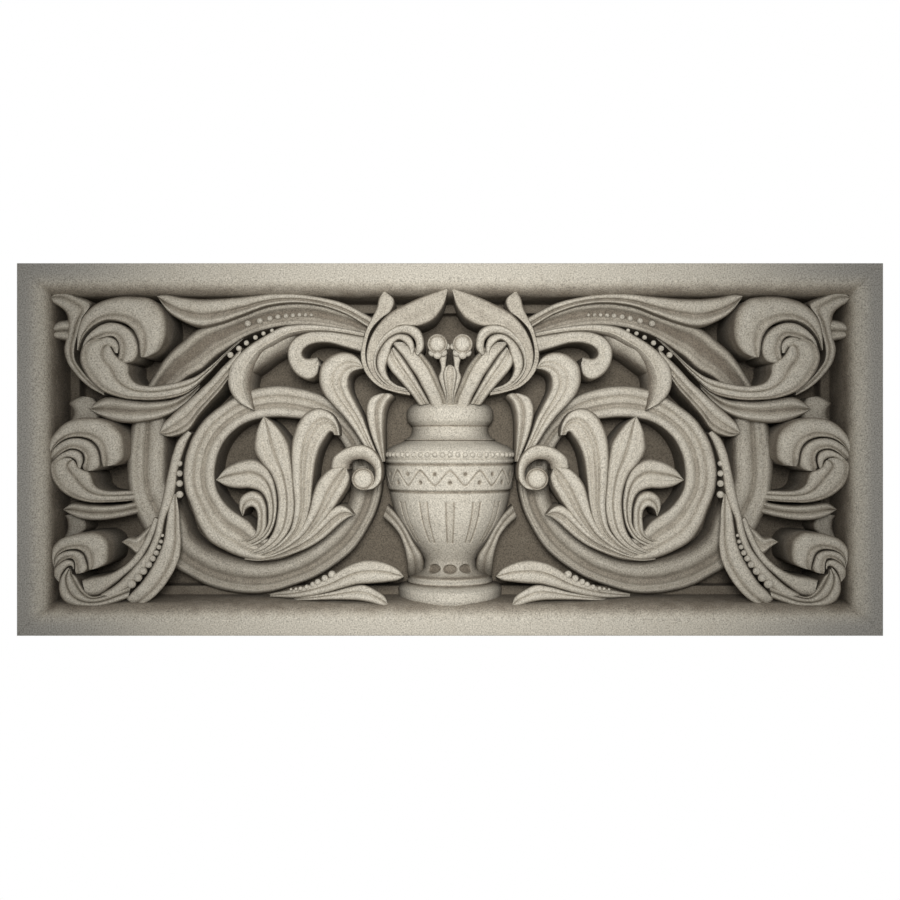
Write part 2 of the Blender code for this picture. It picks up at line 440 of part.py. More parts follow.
def bouquet():
    """Petals, curls, stems and round buds that rise out of the urn."""
    leaf("petal_back", [
        (66.5, 158.5, 65.5, 158.5, 8), (71, 151.5, 56, 150, 4), (73.5, 141.5, 59, 138.5, 4),
        (78.5, 131, 68.5, 131, 5), (83.5, 120.5, 78, 121, 6), (87, 108, 83, 108, 8),
        (89.3, 95, 84.5, 95, 11), (87.5, 83, 82.5, 84, 14), (81, 71.5, 76, 72.5, 18),
        (70.5, 62.5, 68, 65, 22), (56, 57.5, 55, 60, 27), (40, 54, 40, 57.5, 33)], 5, ROLL)
    leaf("great_petal", [
        (3.5, 160.7, 2.3, 159, 4), (14, 158, 5, 147, 2), (30, 152, 9.5, 138, 1),
        (46, 144.5, 17, 129.5, 1), (59, 137.5, 31, 123.5, 2), (69, 128.5, 48, 124, 3),
        (76.5, 118, 61, 117.5, 5), (81.5, 106.5, 70, 107.5, 7), (83.7, 94, 75, 95, 10),
        (82, 82.5, 76, 83, 13), (76, 72, 71.5, 72.5, 17), (65.5, 63, 63.5, 65, 22),
        (50, 58, 50, 60.5, 28)], 5, ROLL)
    leaf("curl_outer", [
        (42, 57.5, 42, 59.5, 30), (57, 61, 56, 63, 24), (69, 69.5, 67, 71, 18), (76, 81, 73.5, 82, 13),
        (76.5, 93, 73.5, 93, 9), (73, 105.5, 68.5, 103.5, 6), (64.5, 116.5, 60.5, 112, 4),
        (52, 124, 50.5, 116.3, 2), (39, 124.8, 41, 115.3, 1), (30, 119.5, 35.5, 110.5, 1),
        (26, 109.5, 34, 104.5, 2), (26.3, 100.5, 34.3, 99.5, 4), (31, 94.5, 35, 95.5, 8)], 6, ROLL)
    leaf("curl_inner", [
        (44, 58.5, 43, 61, 32), (57, 62.5, 54.5, 65.5, 26), (67.5, 70.5, 60.5, 71, 20),
        (73, 81.5, 64, 81, 16), (73, 92.5, 62, 90, 14), (68.5, 103, 60, 97, 12),
        (61.5, 111, 57.5, 105, 10), (52, 115.7, 51, 110, 8), (43, 114.8, 45, 106.5, 7),
        (37.5, 110, 41, 101, 7), (35.5, 103, 39.8, 96, 8), (36, 96, 39, 91.5, 10)], 5, ROLL)
    leaf("stem_outer", [
        (63, 95, 56, 103, 20), (63.5, 88, 50.5, 97, 15), (60, 80, 43.5, 87, 13), (52.5, 71, 37, 77, 14),
        (45, 62.5, 31, 66.5, 18), (38, 54, 25.5, 56.5, 24), (31.5, 44.5, 19.5, 46, 33)], 6)
    leaf("stem_inner", [
        (60, 108, 40, 107, 18), (54, 101, 33, 101, 13), (47, 92.5, 25, 93, 10), (40, 82, 17.5, 83, 11),
        (34, 73.5, 12.5, 72.5, 14), (28.5, 63, 8, 61, 19), (23, 53, 4, 52, 25), (19, 43, 2, 43, 31)], 6)
    leaf("centre_bud", [
        (-1.5, 84.6, 1.5, 84.6, 14), (-5, 82, 5, 82, 11), (-7, 76.5, 7, 76.5, 11), (-6, 67, 6, 67, 13),
        (-4, 56, 4, 56, 19), (-3, 43, 3, 43, 30)], 5, ROLL, sides=(1,))
    leaf("bud_stalk", [
        (11.5, 96, 2.5, 96, 16), (11, 91, 3.2, 91, 14.5), (9.3, 84, 4, 84, 14.5),
        (9.5, 78, 3.5, 78, 16), (11.5, 73, 2.5, 73, 18), (9, 64, 1.5, 64, 21), (5, 52, 0.8, 52, 27),
        (4, 44, 0.5, 44, 31)],
        4, ROLL)
    knob("round_bud", 12.6, 105.5, 5, 9.8, 5)


def urn_profile():
    """Height, half width, share of that by which it swells forward, and whether the flutes are cut there."""
    above = [
        (46.5, 31, 1), (40, 40.5, 1), (33, 43.5, 1), (22.5, 37.8, 1), (9.5, 45.9, 1), (3.5, 58, 1),
        (-2, 64.5, 1), (-12, 65.2, 1), (-15, 63.5, 1), (-38.5, 62, 1), (-41.5, 59, 1)]
    fluted = [(-66, 53.9, 1), (-84, 44, 1)]
    below = [
        (-98, 33.5, 1), (-110, 25.4, 1), (-120, 27, 1), (-125, 40, 1), (-132, 43, 1.1),
        (-137, 51.9, 1.2), (-149, 49, 1.2), (-157.3, 38, 1.2)]
    return [(*row, rows is fluted) for rows in (above, fluted, below) for row in rows]


def urn_turns():
    """Angles round the front of the urn: three to each flute, and three in the plain stone at each end."""
    plain = math.pi / 2 - (FLUTE_COUNT - 1) / 2 * FLUTE_PITCH - FLUTE_SPREAD
    turns = [plain * share for share in URN_END_SHARES]
    for number in range(FLUTE_COUNT):
        middle = math.pi / 2 + (number - (FLUTE_COUNT - 1) / 2) * FLUTE_PITCH
        turns += [middle - FLUTE_SPREAD, middle, middle + FLUTE_SPREAD]
    return turns + [math.pi - plain * share for share in reversed(URN_END_SHARES)]


def flute(number):
    """Depth of the hollow at a numbered angle: cut at the middle one of the three of each flute."""
    in_front = number - len(URN_END_SHARES)
    return FLUTE_DEPTH if 0 <= in_front < 3 * FLUTE_COUNT and in_front % 3 == 1 else 0


def urn():
    """Half-round urn on the ground: mouth, neck, shoulder, frieze, fluted body and round foot."""
    spread = 1 + URN_AXIS_DEPTH / VIEW_DISTANCE
    unit = FIELD_HALF_LENGTH / UNIT_COUNT_LONG * spread
    rise = FIELD_HALF_HEIGHT / UNIT_COUNT_HIGH * spread
    bulge = GROUND_DEPTH / UNIT_COUNT_DEEP * spread
    axis = URN_AXIS_DEPTH - PANEL_DEPTH
    rows = urn_profile()
    turns = urn_turns()
    verts = []
    faces = []
    for height, width, swell, fluted in rows:
        for number, turn in enumerate(turns):
            hollow = flute(number) if fluted else 0
            across = (width * unit - hollow) * math.cos(turn)
            forward = (width * swell * bulge - hollow) * math.sin(turn)
            verts.append((across, axis - forward, height * rise))
        verts.append((-width * unit, FOOT_SINK - BACK_THICKNESS, height * rise))
        verts.append((width * unit, FOOT_SINK - BACK_THICKNESS, height * rise))
    size = len(turns) + 2
    for row in range(len(rows) - 1):
        for i in range(size):
            a = row * size + i
            b = row * size + (i + 1) % size
            faces.append((a, b, b + size, a + size))
    faces.append(tuple(range(size)))
    faces.append(tuple((len(rows) - 1) * size + i for i in range(size)))
    carving.append(add_mesh("urn", verts, faces))


def sandstone():
    """Pale grey-buff sandstone, cut and left unpolished."""
    material = bpy.data.materials.new("sandstone")
    material.use_nodes = True
    shader = material.node_tree.nodes["Principled BSDF"]
    shader.inputs["Base Color"].default_value = (0.42, 0.39, 0.33, 1)
    shader.inputs["Roughness"].default_value = 0.9
    shader.inputs["Metallic"].default_value = 0
    return material


def join_carving(panel):
    """Fuses the carving with the block, so that the panel is one closed solid."""
    group = bpy.data.collections.new("carving")
    bpy.context.scene.collection.children.link(group)
    for obj in carving:
        bpy.context.scene.collection.objects.unlink(obj)
        group.objects.link(obj)
        obj.hide_render = True
        obj.display_type = "WIRE"
    fuse = panel.modifiers.new("fuse", "BOOLEAN")
    fuse.operation = "UNION"
    fuse.operand_type = "COLLECTION"
    fuse.collection = group
    fuse.solver = "EXACT"


def main():
    for obj in list(bpy.data.objects):
        bpy.data.objects.remove(obj)
    panel = frame()
    for make in (top_volute, middle_volute, lower_volute, side_leaves, top_leaves, ring, palmette, low_leaves,
                 bouquet, urn):
        make()
    join_carving(panel)
    panel.data.materials.append(sandstone())


main()
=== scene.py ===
# Carved sandstone wall panel: an urn of flowers between two scrolls of leaves, in a moulded frame.
# Lengths in the dictionaries are millimetres as they look on the front plane, from the middle of the panel.
import math
import bmesh
import bpy
import numpy as np
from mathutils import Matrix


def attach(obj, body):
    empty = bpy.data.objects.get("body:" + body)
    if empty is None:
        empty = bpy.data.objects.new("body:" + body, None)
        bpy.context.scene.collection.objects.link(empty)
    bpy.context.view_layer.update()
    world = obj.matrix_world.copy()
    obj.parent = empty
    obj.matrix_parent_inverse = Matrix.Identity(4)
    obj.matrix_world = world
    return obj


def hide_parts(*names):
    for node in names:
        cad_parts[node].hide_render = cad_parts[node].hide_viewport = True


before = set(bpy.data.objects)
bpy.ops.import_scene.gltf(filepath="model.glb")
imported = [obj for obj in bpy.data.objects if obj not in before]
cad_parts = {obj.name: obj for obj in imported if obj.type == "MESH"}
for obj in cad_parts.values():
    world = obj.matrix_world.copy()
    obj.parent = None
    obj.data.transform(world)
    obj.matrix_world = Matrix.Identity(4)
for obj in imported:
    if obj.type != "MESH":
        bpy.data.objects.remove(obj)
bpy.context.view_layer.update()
print("frame loaded")

panel = {
    "length": 867, "height": 373, "depth": 100,
    "footDepth": 87,         # how deep the feet of the carving reach, under the ground
    "viewDistance": 1150,    # from the eye to the front plane
    "waveHeight": 0.35,      # unevenness that the chisel left
    # its waves: radians per mm over x, the same over z, and the phase
    "waves": ((0.11, 0.07, 0.3), (-0.16, 0.19, 1.9), (0.31, 0.12, 4.1), (0.05, -0.37, 2.6),
              (-0.43, -0.21, 5.2), (0.24, 0.42, 0.9)),
}

carving = {
    "alongStep": 2.0,        # mm between points along a leaf
    "acrossStep": 0.9,       # and across it
    "alongPoints": (24, 160), "acrossPoints": (16, 40),     # the fewest and the most points each way
    "evenShare": 0.6,        # the rest of their spacing crowds towards the edges
    "fullRiseWidth": 0.6,    # share of a leaf's greatest width from which it has its full rise
    "shadeOnSides": 0.45,     # painted shade: share of the colour of shade and dust on the walls that go back from a form's edges
    "darkerBy": 0.1,             # how much further towards the colour of painted shade and dust a form's top goes, where the leaf gives no share of its own
    "metresPerMm": 0.001,
    "mergeDistance": 0.00001,
    "creaseAngle": 48,       # degrees, from which an edge stays sharp
}

crossSections = {
    # share of the width from edge 1 to edge 2, and height there from 0 in a groove to 1 on a crest
    "groovedStem": [(0, 0), (0.05, 0.55), (0.1, 0.5), (0.22, 0.92), (0.4, 1), (0.52, 0.85), (0.57, 0.55),
        (0.63, 0.8), (0.78, 1), (0.93, 0.75), (1, 0)],
    "outerBand": [(0, 0), (0.07, 0.45), (0.18, 0.8), (0.3, 0.97), (0.44, 1), (0.68, 0.85), (0.78, 0.5),
        (0.84, 0.62), (0.93, 0.68), (1, 0.35)],
    "innerBand": [(0, 0.3), (0.06, 0.72), (0.25, 0.97), (0.42, 1), (0.62, 0.8), (0.74, 0.5), (0.82, 0.62),
        (0.93, 0.66), (1, 0.35)],
    "roundRoll": [(0, 0), (0.1, 0.65), (0.28, 0.95), (0.5, 1), (0.72, 0.95), (0.9, 0.65), (1, 0)],
    "cleftBlade": [(0, 0), (0.08, 0.6), (0.25, 1), (0.42, 0.55), (0.5, 0.3), (0.6, 0.6), (0.8, 1),
        (0.94, 0.6), (1, 0)],
    "ribbedBlade": [(0, 0), (0.08, 0.75), (0.25, 0.95), (0.42, 0.9), (0.49, 0.55), (0.56, 0.85), (0.75, 1),
        (0.92, 0.75), (1, 0)],
    "petal": [(0, 0), (0.08, 0.8), (0.3, 1), (0.6, 0.9), (0.85, 1), (0.95, 0.75), (1, 0)],
}


def onPanel(side, across, up, depth):
    # x = side * across * s, y = depth - panel depth, z = up * s, where s = 1 + depth / view distance
    spread = 1 + depth / panel["viewDistance"]
    return np.stack([side * across * spread, depth - panel["depth"] + 0 * across, up * spread], axis=-1)


def chiselWaves(points):
    # wave height / 3 times the sum of sin(a * x + b * z + c) over six waves, 13 to 48 mm long
    x, z = points[..., 0], points[..., 2]
    return sum(np.sin(a * x + b * z + c) for a, b, c in panel["waves"]) * panel["waveHeight"] / 3


def throughKnots(knots, at):
    # cubic between knots, its slope at a knot the harmonic mean of the two chords, and level at each crest
    # and dip
    kx, ky = np.array(knots, float).T
    gap = np.diff(kx)
    chord = np.diff(ky) / gap
    slope = np.zeros(len(kx))
    slope[0], slope[-1] = chord[0], chord[-1]
    product = chord[:-1] * chord[1:]
    total = chord[:-1] + chord[1:]
    slope[1:-1] = np.where(product > 0, 2 * product / np.where(product > 0, total, 1), 0)
    i = np.clip(np.searchsorted(kx, at, side="right") - 1, 0, len(kx) - 2)
    t = (at - kx[i]) / gap[i]
    return ((1 + 2 * t) * (1 - t) ** 2 * ky[i] + t * (1 - t) ** 2 * gap[i] * slope[i]
            + t * t * (3 - 2 * t) * ky[i + 1] + t * t * (t - 1) * gap[i] * slope[i + 1])


def throughRibs(ribs, step):
    # cubic through the ribs along their mean chord length, its slope at a rib that of the curve through its
    # neighbours
    ribs = np.array(ribs, float)
    moved = np.diff(ribs, axis=0)
    chord = (np.hypot(moved[:, 0], moved[:, 1]) + np.hypot(moved[:, 2], moved[:, 3])) / 2
    along = np.concatenate([[0], np.cumsum(chord)])
    slope = np.gradient(ribs, along, axis=0)
    at = np.linspace(0, along[-1], int(np.clip(along[-1] / step, *carving["alongPoints"])))
    i = np.clip(np.searchsorted(along, at, side="right") - 1, 0, len(ribs) - 2)
    gap = (along[i + 1] - along[i])[:, None]
    t = (at - along[i])[:, None] / gap
    return ((1 + 2 * t) * (1 - t) ** 2 * ribs[i] + t * (1 - t) ** 2 * gap * slope[i]
            + t * t * (3 - 2 * t) * ribs[i + 1] + t * t * (t - 1) * gap * slope[i + 1])


def tubeFaces(rows, ring):
    # quads between each ring of points and the next, closed round the ring, and a cap on the two end rings
    i, j = np.meshgrid(np.arange(rows - 1), np.arange(ring), indexing="ij")
    a = i * ring + j
    b = i * ring + (j + 1) % ring
    quads = np.stack([a, b, b + ring, a + ring], axis=-1).reshape(-1, 4)
    return quads.tolist() + [list(range(ring)), [(rows - 1) * ring + k for k in range(ring)]]


def stonePiece(name, parts):
    # one mesh from closed shells of points in mm, their faces, and each point's share of the colour of painted
    # shade with dust, from 0 on a crest to 1 in a groove
    starts = np.cumsum([0] + [len(shellPoints) for shellPoints, shellFaces, shellShadeAndDust in parts])
    points = np.concatenate([shellPoints for shellPoints, shellFaces, shellShadeAndDust in parts])
    points = points * carving["metresPerMm"]
    hollow = np.concatenate([shellShadeAndDust for shellPoints, shellFaces, shellShadeAndDust in parts])
    faces = [[k + start for k in face] for start, part in zip(starts.tolist(), parts) for face in part[1]]
    mesh = bpy.data.meshes.new(name)
    mesh.from_pydata(points, [], faces)
    mesh.attributes.new("hollow", "FLOAT", "POINT").data.foreach_set("value", hollow.astype(np.float32))
    bm = bmesh.new()
    bm.from_mesh(mesh)
    bmesh.ops.remove_doubles(bm, verts=bm.verts, dist=carving["mergeDistance"])
    bmesh.ops.recalc_face_normals(bm, faces=bm.faces)
    bm.to_mesh(mesh)
    bm.free()
    mesh.polygons.foreach_set("use_smooth", np.ones(len(mesh.polygons), bool))
    mesh.set_sharp_from_angle(angle=math.radians(carving["creaseAngle"]))
    piece = bpy.data.objects.new(name, mesh)
    bpy.context.scene.collection.objects.link(piece)
    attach(piece, "root")
    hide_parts("carved_panel")
    stonePieces.append(piece)
    print(name, len(mesh.vertices), "points")


stonePieces = []


def carvedForm(form, side):
    # point(u, v) = edge1(u) + (edge2(u) - edge1(u)) * v, at the depth crest(u) + rise(u) * (1 - cut(v)), where
    # rise(u) goes with the root of the width; the two edges then go straight back to the foot, or, where the
    # form is undercut, away from the eye so that its sides don't show
    ribs = throughRibs(form["ribs"], carving["alongStep"])
    width = np.hypot(ribs[:, 0] - ribs[:, 2], ribs[:, 1] - ribs[:, 3])
    count = int(np.clip(width.max() / carving["acrossStep"], *carving["acrossPoints"]))
    even = np.linspace(0, 1, count)
    share = carving["evenShare"] * even + (1 - carving["evenShare"]) * (1 - np.cos(np.pi * even)) / 2
    height = throughKnots(form["cut"], share)
    rise = form["rise"] * np.sqrt(np.clip(width / (carving["fullRiseWidth"] * width.max()), 0, 1))
    across = ribs[:, 0:1] + (ribs[:, 2:3] - ribs[:, 0:1]) * share
    up = ribs[:, 1:2] + (ribs[:, 3:4] - ribs[:, 1:2]) * share
    depth = ribs[:, 4:5] + rise[:, None] * (1 - height)
    top = onPanel(side, across, up, depth)
    top[..., 1] += chiselWaves(top)
    if form.get("undercut"):
        feet = onPanel(side, across[:, [-1, 0]], up[:, [-1, 0]], panel["footDepth"])
    else:
        feet = top[:, [-1, 0]]
        feet[..., 1] = panel["footDepth"] - panel["depth"]
    points = np.concatenate([top, feet], axis=1)
    # painted shade, with dust: the top darker towards its grooves and edges, the walls going back at a fixed
    # share
    topShadeAndDust = np.clip(1 - height + form.get("darkerBy", carving["darkerBy"]), 0, 1)
    sides = np.full((len(ribs), 2), carving["shadeOnSides"])
    hollow = np.concatenate([np.repeat(topShadeAndDust[None], len(ribs), axis=0), sides], axis=1)
    return points.reshape(-1, 3), tubeFaces(len(ribs), count + 2), hollow.reshape(-1)


def carvedForms(group):
    # every form of a group on both halves of the panel, unless the form names its sides
    return [carvedForm(form, side) for form in group.values() for side in form.get("sides", (-1, 1))]


frameMoulding = {
    # inset from the panel's edge and depth behind the front: back, rim, slope, recess wall, step, ground
    "profile": [(0, 100), (0, 60), (0, 20), (0, 1.4), (0.3, 0.45), (1.1, 0), (4, 0), (8, 0.05), (12, 0.1),
        (14.2, 0.25), (15.4, 0.5), (17, 0.75), (19, 1.15), (21, 1.8), (23, 2.8), (25, 4.2), (26.6, 5.8),
        (28, 7.7), (29.2, 9.9), (30.2, 12.5), (31, 15.5), (31.5, 19.5), (31.9, 26), (32.4, 35), (33, 46),
        (33.7, 58), (33.95, 61.3), (34.4, 62), (36, 62.1), (39, 62), (41.8, 62.1), (42.7, 62.6), (43, 63.8),
        (43, 70), (43.1, 76), (43.4, 81), (44, 82)],
    # thin line in each corner, and the insets between which it starts and ends
    "mitre": {"cut": 1.1, "width": 0.8, "start": (0.2, 1.5), "end": (30, 31)},
    "points": (170, 74),          # along the long and the short side
    "crowding": 0.3,              # share of their spacing that crowds towards the corners
    "waves": 0.6, "wavesStart": (0.9, 3),    # times the panel's unevenness, and the insets where it sets in
    "groundWaves": 1.6,           # times that, on the ground
    # painted shade growing over the slope between two insets, above and below the carving and at its two ends
    "lyingSlopeShade": 0.9, "lyingSlope": (15, 29), "standingSlope": (24, 33),
}


def softStep(value, low, high):
    # 0 below low, 1 above high, and 3 t^2 - 2 t^3 between
    t = np.clip((value - low) / (high - low), 0, 1)
    return t * t * (3 - 2 * t)


def sideShares(count):
    # -1 to 1 along a side: an even spacing mixed with a half turn of cosine
    even = np.linspace(0, 1, count)
    crowding = frameMoulding["crowding"]
    return -1 + 2 * ((1 - crowding) * even + crowding * (0.5 - 0.5 * np.cos(np.pi * even)))


def mouldedFrame():
    # point(k, t) = the rectangle inset by inset(k), at depth(k), lowered by a narrow bell across each mitre;
    # the ground is a grid with the same points on its rim
    mitre = frameMoulding["mitre"]
    inset, depth = np.array(frameMoulding["profile"], float).T
    longCount, shortCount = frameMoulding["points"]
    number = np.arange(longCount * shortCount).reshape(shortCount, longCount)
    rim = np.concatenate([number[0, :-1], number[:-1, -1], number[-1, :0:-1], number[:0:-1, 0]])
    shareX, shareZ = (share.reshape(-1) for share in np.meshgrid(sideShares(longCount), sideShares(shortCount)))
    halfLong, halfHigh = panel["length"] / 2 - inset, panel["height"] / 2 - inset
    loopX = shareX[rim] * halfLong[:, None]
    loopZ = shareZ[rim] * halfHigh[:, None]
    fromMitre = np.abs((halfLong[:, None] - np.abs(loopX)) - (halfHigh[:, None] - np.abs(loopZ)))
    line = mitre["cut"] * np.exp(-(fromMitre / mitre["width"]) ** 2)
    seen = softStep(inset, *mitre["start"]) * (1 - softStep(inset, *mitre["end"]))
    loopDepth = depth[:, None] + line * seen[:, None]
    loops = np.stack([loopX, loopDepth - panel["depth"], loopZ], axis=-1)
    soft = softStep(inset, *frameMoulding["wavesStart"])[:, None]
    loops[..., 1] += np.clip(chiselWaves(loops) * frameMoulding["waves"], -loopDepth, None) * soft
    ground = np.stack([shareX * halfLong[-1], np.full(len(shareX), depth[-1] - panel["depth"]),
                       shareZ * halfHigh[-1]], axis=-1)
    inside = np.ones(len(shareX))
    inside[rim] = 0
    ground[:, 1] += (chiselWaves(ground) * frameMoulding["waves"]
                     * (1 + inside * (frameMoulding["groundWaves"] - 1)))
    loops = loops[:-1]
    size = len(rim)
    i, j = np.meshgrid(np.arange(len(loops) - 1), np.arange(size), indexing="ij")
    a, b = i * size + j, i * size + (j + 1) % size
    quads = np.stack([a, b, b + size, a + size], axis=-1).reshape(-1, 4).tolist()
    start = len(loops) * size
    last = (len(loops) - 1) * size + np.arange(size)
    quads += np.stack([last, np.roll(last, -1), start + np.roll(rim, -1), start + rim], axis=-1).tolist()
    cells = np.stack([number[:-1, :-1], number[:-1, 1:], number[1:, 1:], number[1:, :-1]], axis=-1)
    quads += (cells.reshape(-1, 4) + start).tolist()
    quads.append(list(range(size)))
    # painted shade: the slope darker inwards, most above and below the carving, and the ground wholly in the
    # darkest colour
    lying = (halfHigh[:-1, None] - np.abs(loops[..., 2])) < (halfLong[:-1, None] - np.abs(loops[..., 0]))
    lyingSlopeShade = frameMoulding["lyingSlopeShade"] * softStep(inset[:-1], *frameMoulding["lyingSlope"])[:, None]
    hollow = np.where(lying, lyingSlopeShade, softStep(inset[:-1], *frameMoulding["standingSlope"])[:, None])
    return (np.concatenate([loops.reshape(-1, 3), ground]), quads,
            np.concatenate([hollow.reshape(-1), np.ones(len(ground))]))


stonePiece("mouldedFrame", [mouldedFrame()])

upperScroll = {
    "topStem": {
        "rise": 9,
        "cut": crossSections["groovedStem"],
        "ribs": [(205, 112, 203, 116, 32), (225, 93, 222, 99.5, 29), (243, 73.5, 238, 85, 25),
            (262, 57, 254, 73.5, 21), (285, 50.5, 276, 66.5, 17), (308, 49.5, 300, 63.5, 13),
            (330, 52, 314, 67, 10), (350, 60, 320, 76, 8), (364, 75, 321, 85, 7), (370, 93, 330, 91, 6),
            (366, 105, 334, 94.5, 6), (356, 111, 336.5, 98, 6.5), (347, 111, 338, 100, 8)],
    },
    "topEye": {
        "rise": 6,
        "cut": [(0, 0), (0.12, 0.75), (0.35, 1), (0.65, 0.95), (0.88, 0.65), (1, 0)],
        "ribs": [(350, 111.5, 343, 102, 10), (342, 113, 340, 102, 7), (335, 110.5, 338.5, 101.5, 7.5),
            (330.8, 104, 337, 99, 8.5), (331.5, 96.5, 335.5, 96.5, 10)],
    },
    "topOuterBand": {
        "rise": 9,
        "cut": crossSections["outerBand"],
        "ribs": [(373, 100, 372, 99, 16), (372, 118, 367, 112, 12), (366, 134, 358, 122.5, 9),
            (354, 145.5, 348, 128, 7), (335, 152, 338, 129.3, 5), (315, 153, 326, 126.5, 3),
            (297, 149.5, 317, 120, 2), (286, 137, 312.5, 112, 1), (283, 121, 311, 106, 2),
            (285.5, 107, 310.5, 99.5, 4), (292, 97.5, 310, 95, 7), (302, 92.5, 309, 92.5, 10)],
    },
    "topInnerBand": {
        "rise": 8,
        "cut": crossSections["innerBand"],
        "ribs": [(369, 96, 368, 96, 16), (365, 110, 361, 106.5, 12), (355, 121, 352, 110, 9),
            (342, 126.8, 344, 112.3, 7), (328, 124.8, 337, 112.8, 6), (318, 117.5, 332.5, 108.5, 5),
            (312.5, 107, 330.8, 102, 5), (312, 96, 331, 96, 6), (317, 88, 332, 91, 8),
            (326, 86, 331, 88, 11)],
    },
    "cornerLeaf": {
        "rise": 8,
        "cut": [(0, 0), (0.1, 0.7), (0.3, 1), (0.52, 0.75), (0.6, 0.5), (0.68, 0.75), (0.85, 0.9), (1, 0)],
        "ribs": [(399.8, 151.7, 399.8, 151.7, 13), (397, 146.8, 395.5, 156.3, 11), (391, 143, 385, 158, 10),
            (385.5, 138.5, 372, 153.5, 11), (382.5, 132, 358, 146.5, 13), (382, 120, 366, 133, 15),
            (384, 110, 371, 116, 18), (386.3, 100, 374.5, 101, 20), (383, 87.5, 374, 90, 21),
            (374, 74.5, 368, 80, 22), (361, 62.5, 357, 67.5, 24), (346, 54, 346, 58, 27)],
    },
    "cornerCurl": {
        "rise": 8,
        "cut": [(0, 0), (0.12, 0.8), (0.3, 1), (0.45, 0.7), (0.52, 0.4), (0.6, 0.75), (0.8, 0.9),
            (0.93, 0.6), (1, 0)],
        "ribs": [(380, 130, 380, 108, 20), (388, 129, 387, 109.3, 18), (394, 127, 392.5, 110.3, 17),
            (398.7, 123.3, 397, 112, 17.5), (401.3, 118.8, 400.5, 115, 19.5)],
    },
}

stonePiece("upperScrolls", carvedForms(upperScroll))

sideScroll = {
    "middleStem": {
        "rise": 9,
        "cut": crossSections["groovedStem"],
        "ribs": [(306, -50, 305, -40, 40), (325, -52, 324, -41, 29), (342, -53, 341, -41.2, 20),
            (358, -53, 350, -39, 13), (373, -50, 355.5, -34, 9), (386, -43.5, 357.5, -27.5, 7),
            (395.5, -34, 360, -22.5, 6), (400, -22, 366, -20.5, 6), (399, -13, 371, -18, 6),
            (390.5, -8, 373, -15, 7), (381, -7.8, 375, -12, 9)],
    },
    "middleOuterBand": {
        "rise": 9,
        "cut": crossSections["outerBand"],
        "ribs": [(400.5, -16, 399.5, -14, 16), (402.5, -4, 398, -2.5, 12), (401, 8, 392, 5.5, 10),
            (394, 18.5, 383, 11, 8), (383, 27.5, 373, 12.6, 6), (368, 31.8, 364, 11.5, 4),
            (351, 31, 356.5, 7.8, 3), (337.5, 25.5, 352, 2.5, 2), (328.5, 16, 350, -3, 2),
            (325.5, 3, 349, -8.5, 3), (326.5, -9, 348.3, -13, 6), (333, -15, 347, -17, 10)],
    },
    "middleInnerBand": {
        "rise": 8,
        "cut": crossSections["innerBand"],
        "ribs": [(401, -13, 401, -13, 16), (398.5, -2, 394, -8.5, 12), (390.5, 6, 387.5, -3, 9),
            (380, 10.8, 380, 0.5, 8), (369, 11.2, 373, 0, 7), (359, 7.5, 367.5, -3, 6),
            (352.5, 0.5, 365.5, -7.5, 6), (350, -9, 366, -12.5, 6), (350.5, -17.5, 367.5, -17.5, 8),
            (357, -21.5, 366, -21, 11)],
    },
    "middleEyeBand": {
        "rise": 6,
        "cut": crossSections["roundRoll"],
        "ribs": [(400.5, -16, 400, -18, 14), (395, -9, 392, -13, 11), (386, -2.5, 384, -8, 9),
            (377, 0, 377.5, -9, 8), (369, -3, 374, -12, 8), (366.5, -10, 373.5, -17, 9),
            (369, -19, 373, -21, 11)],
    },
    "budLeaf": {
        "rise": 6,
        "cut": crossSections["roundRoll"],
        "ribs": [(368, 53.5, 356, 51, 38), (376, 50.5, 352, 46, 36), (381, 46, 350, 40, 35),
            (378, 41, 350, 35, 35), (377, 35, 352, 30, 36), (380, 28, 358, 24, 38)],
    },
}

stonePiece("sideScrolls", carvedForms(sideScroll))

lowerScroll = {
    "lowerStem": {
        "rise": 9,
        "cut": [(0, 0), (0.07, 0.75), (0.2, 1), (0.36, 0.85), (0.42, 0.5), (0.5, 0.85), (0.62, 1),
            (0.74, 0.8), (0.8, 0.45), (0.88, 0.7), (0.95, 0.6), (1, 0)],
        "ribs": [(322, -149, 318, -132, 14), (336, -154, 332, -138, 11), (350, -157.3, 346, -144.5, 9),
            (364, -157.3, 357, -147, 8), (378, -156, 364.5, -142, 7), (387.5, -150, 369.5, -134, 6),
            (391, -140.5, 373, -128, 6), (390, -130, 376, -125, 7), (385.5, -121.5, 378, -124, 8),
            (382.5, -118, 378.5, -121, 10)],
    },
    "lowerOuterBand": {
        "rise": 9,
        "cut": crossSections["outerBand"],
        "ribs": [(394.5, -122, 394, -120, 16), (398.3, -110, 395, -111, 12), (398, -99, 391, -105, 10),
            (391, -90.5, 384, -101, 8), (379, -85.5, 377, -99.8, 6), (364, -83, 371, -100.3, 4),
            (351, -83.5, 366.5, -103, 3), (342.5, -90.5, 364, -107, 2), (340.5, -102, 362.5, -112, 3),
            (343.5, -114, 361.5, -118, 5), (352, -118.5, 361, -120.5, 8)],
    },
    "lowerInnerBand": {
        "rise": 8,
        "cut": crossSections["innerBand"],
        "ribs": [(396, -119, 395.5, -119, 16), (395, -110, 391, -114.5, 11), (389, -103.5, 385, -110.5, 9),
            (380, -101, 380.5, -109, 8), (372, -101.7, 377, -109.8, 7), (366.5, -105, 375.5, -113, 6),
            (363.7, -112, 375, -117.5, 6), (362.5, -119, 375, -121.5, 7), (366, -123, 374, -124.5, 10)],
    },
    "lowerEyeBand": {
        "rise": 6,
        "cut": crossSections["roundRoll"],
        "ribs": [(396.3, -126, 390, -134, 13), (396, -119, 388.5, -127, 10), (390, -113.5, 386, -121.5, 8),
            (382, -110, 381.5, -117, 8), (376.5, -112, 378, -117, 9), (375.5, -118, 377, -120, 11)],
    },
}

stonePiece("lowerScrolls", carvedForms(lowerScroll))

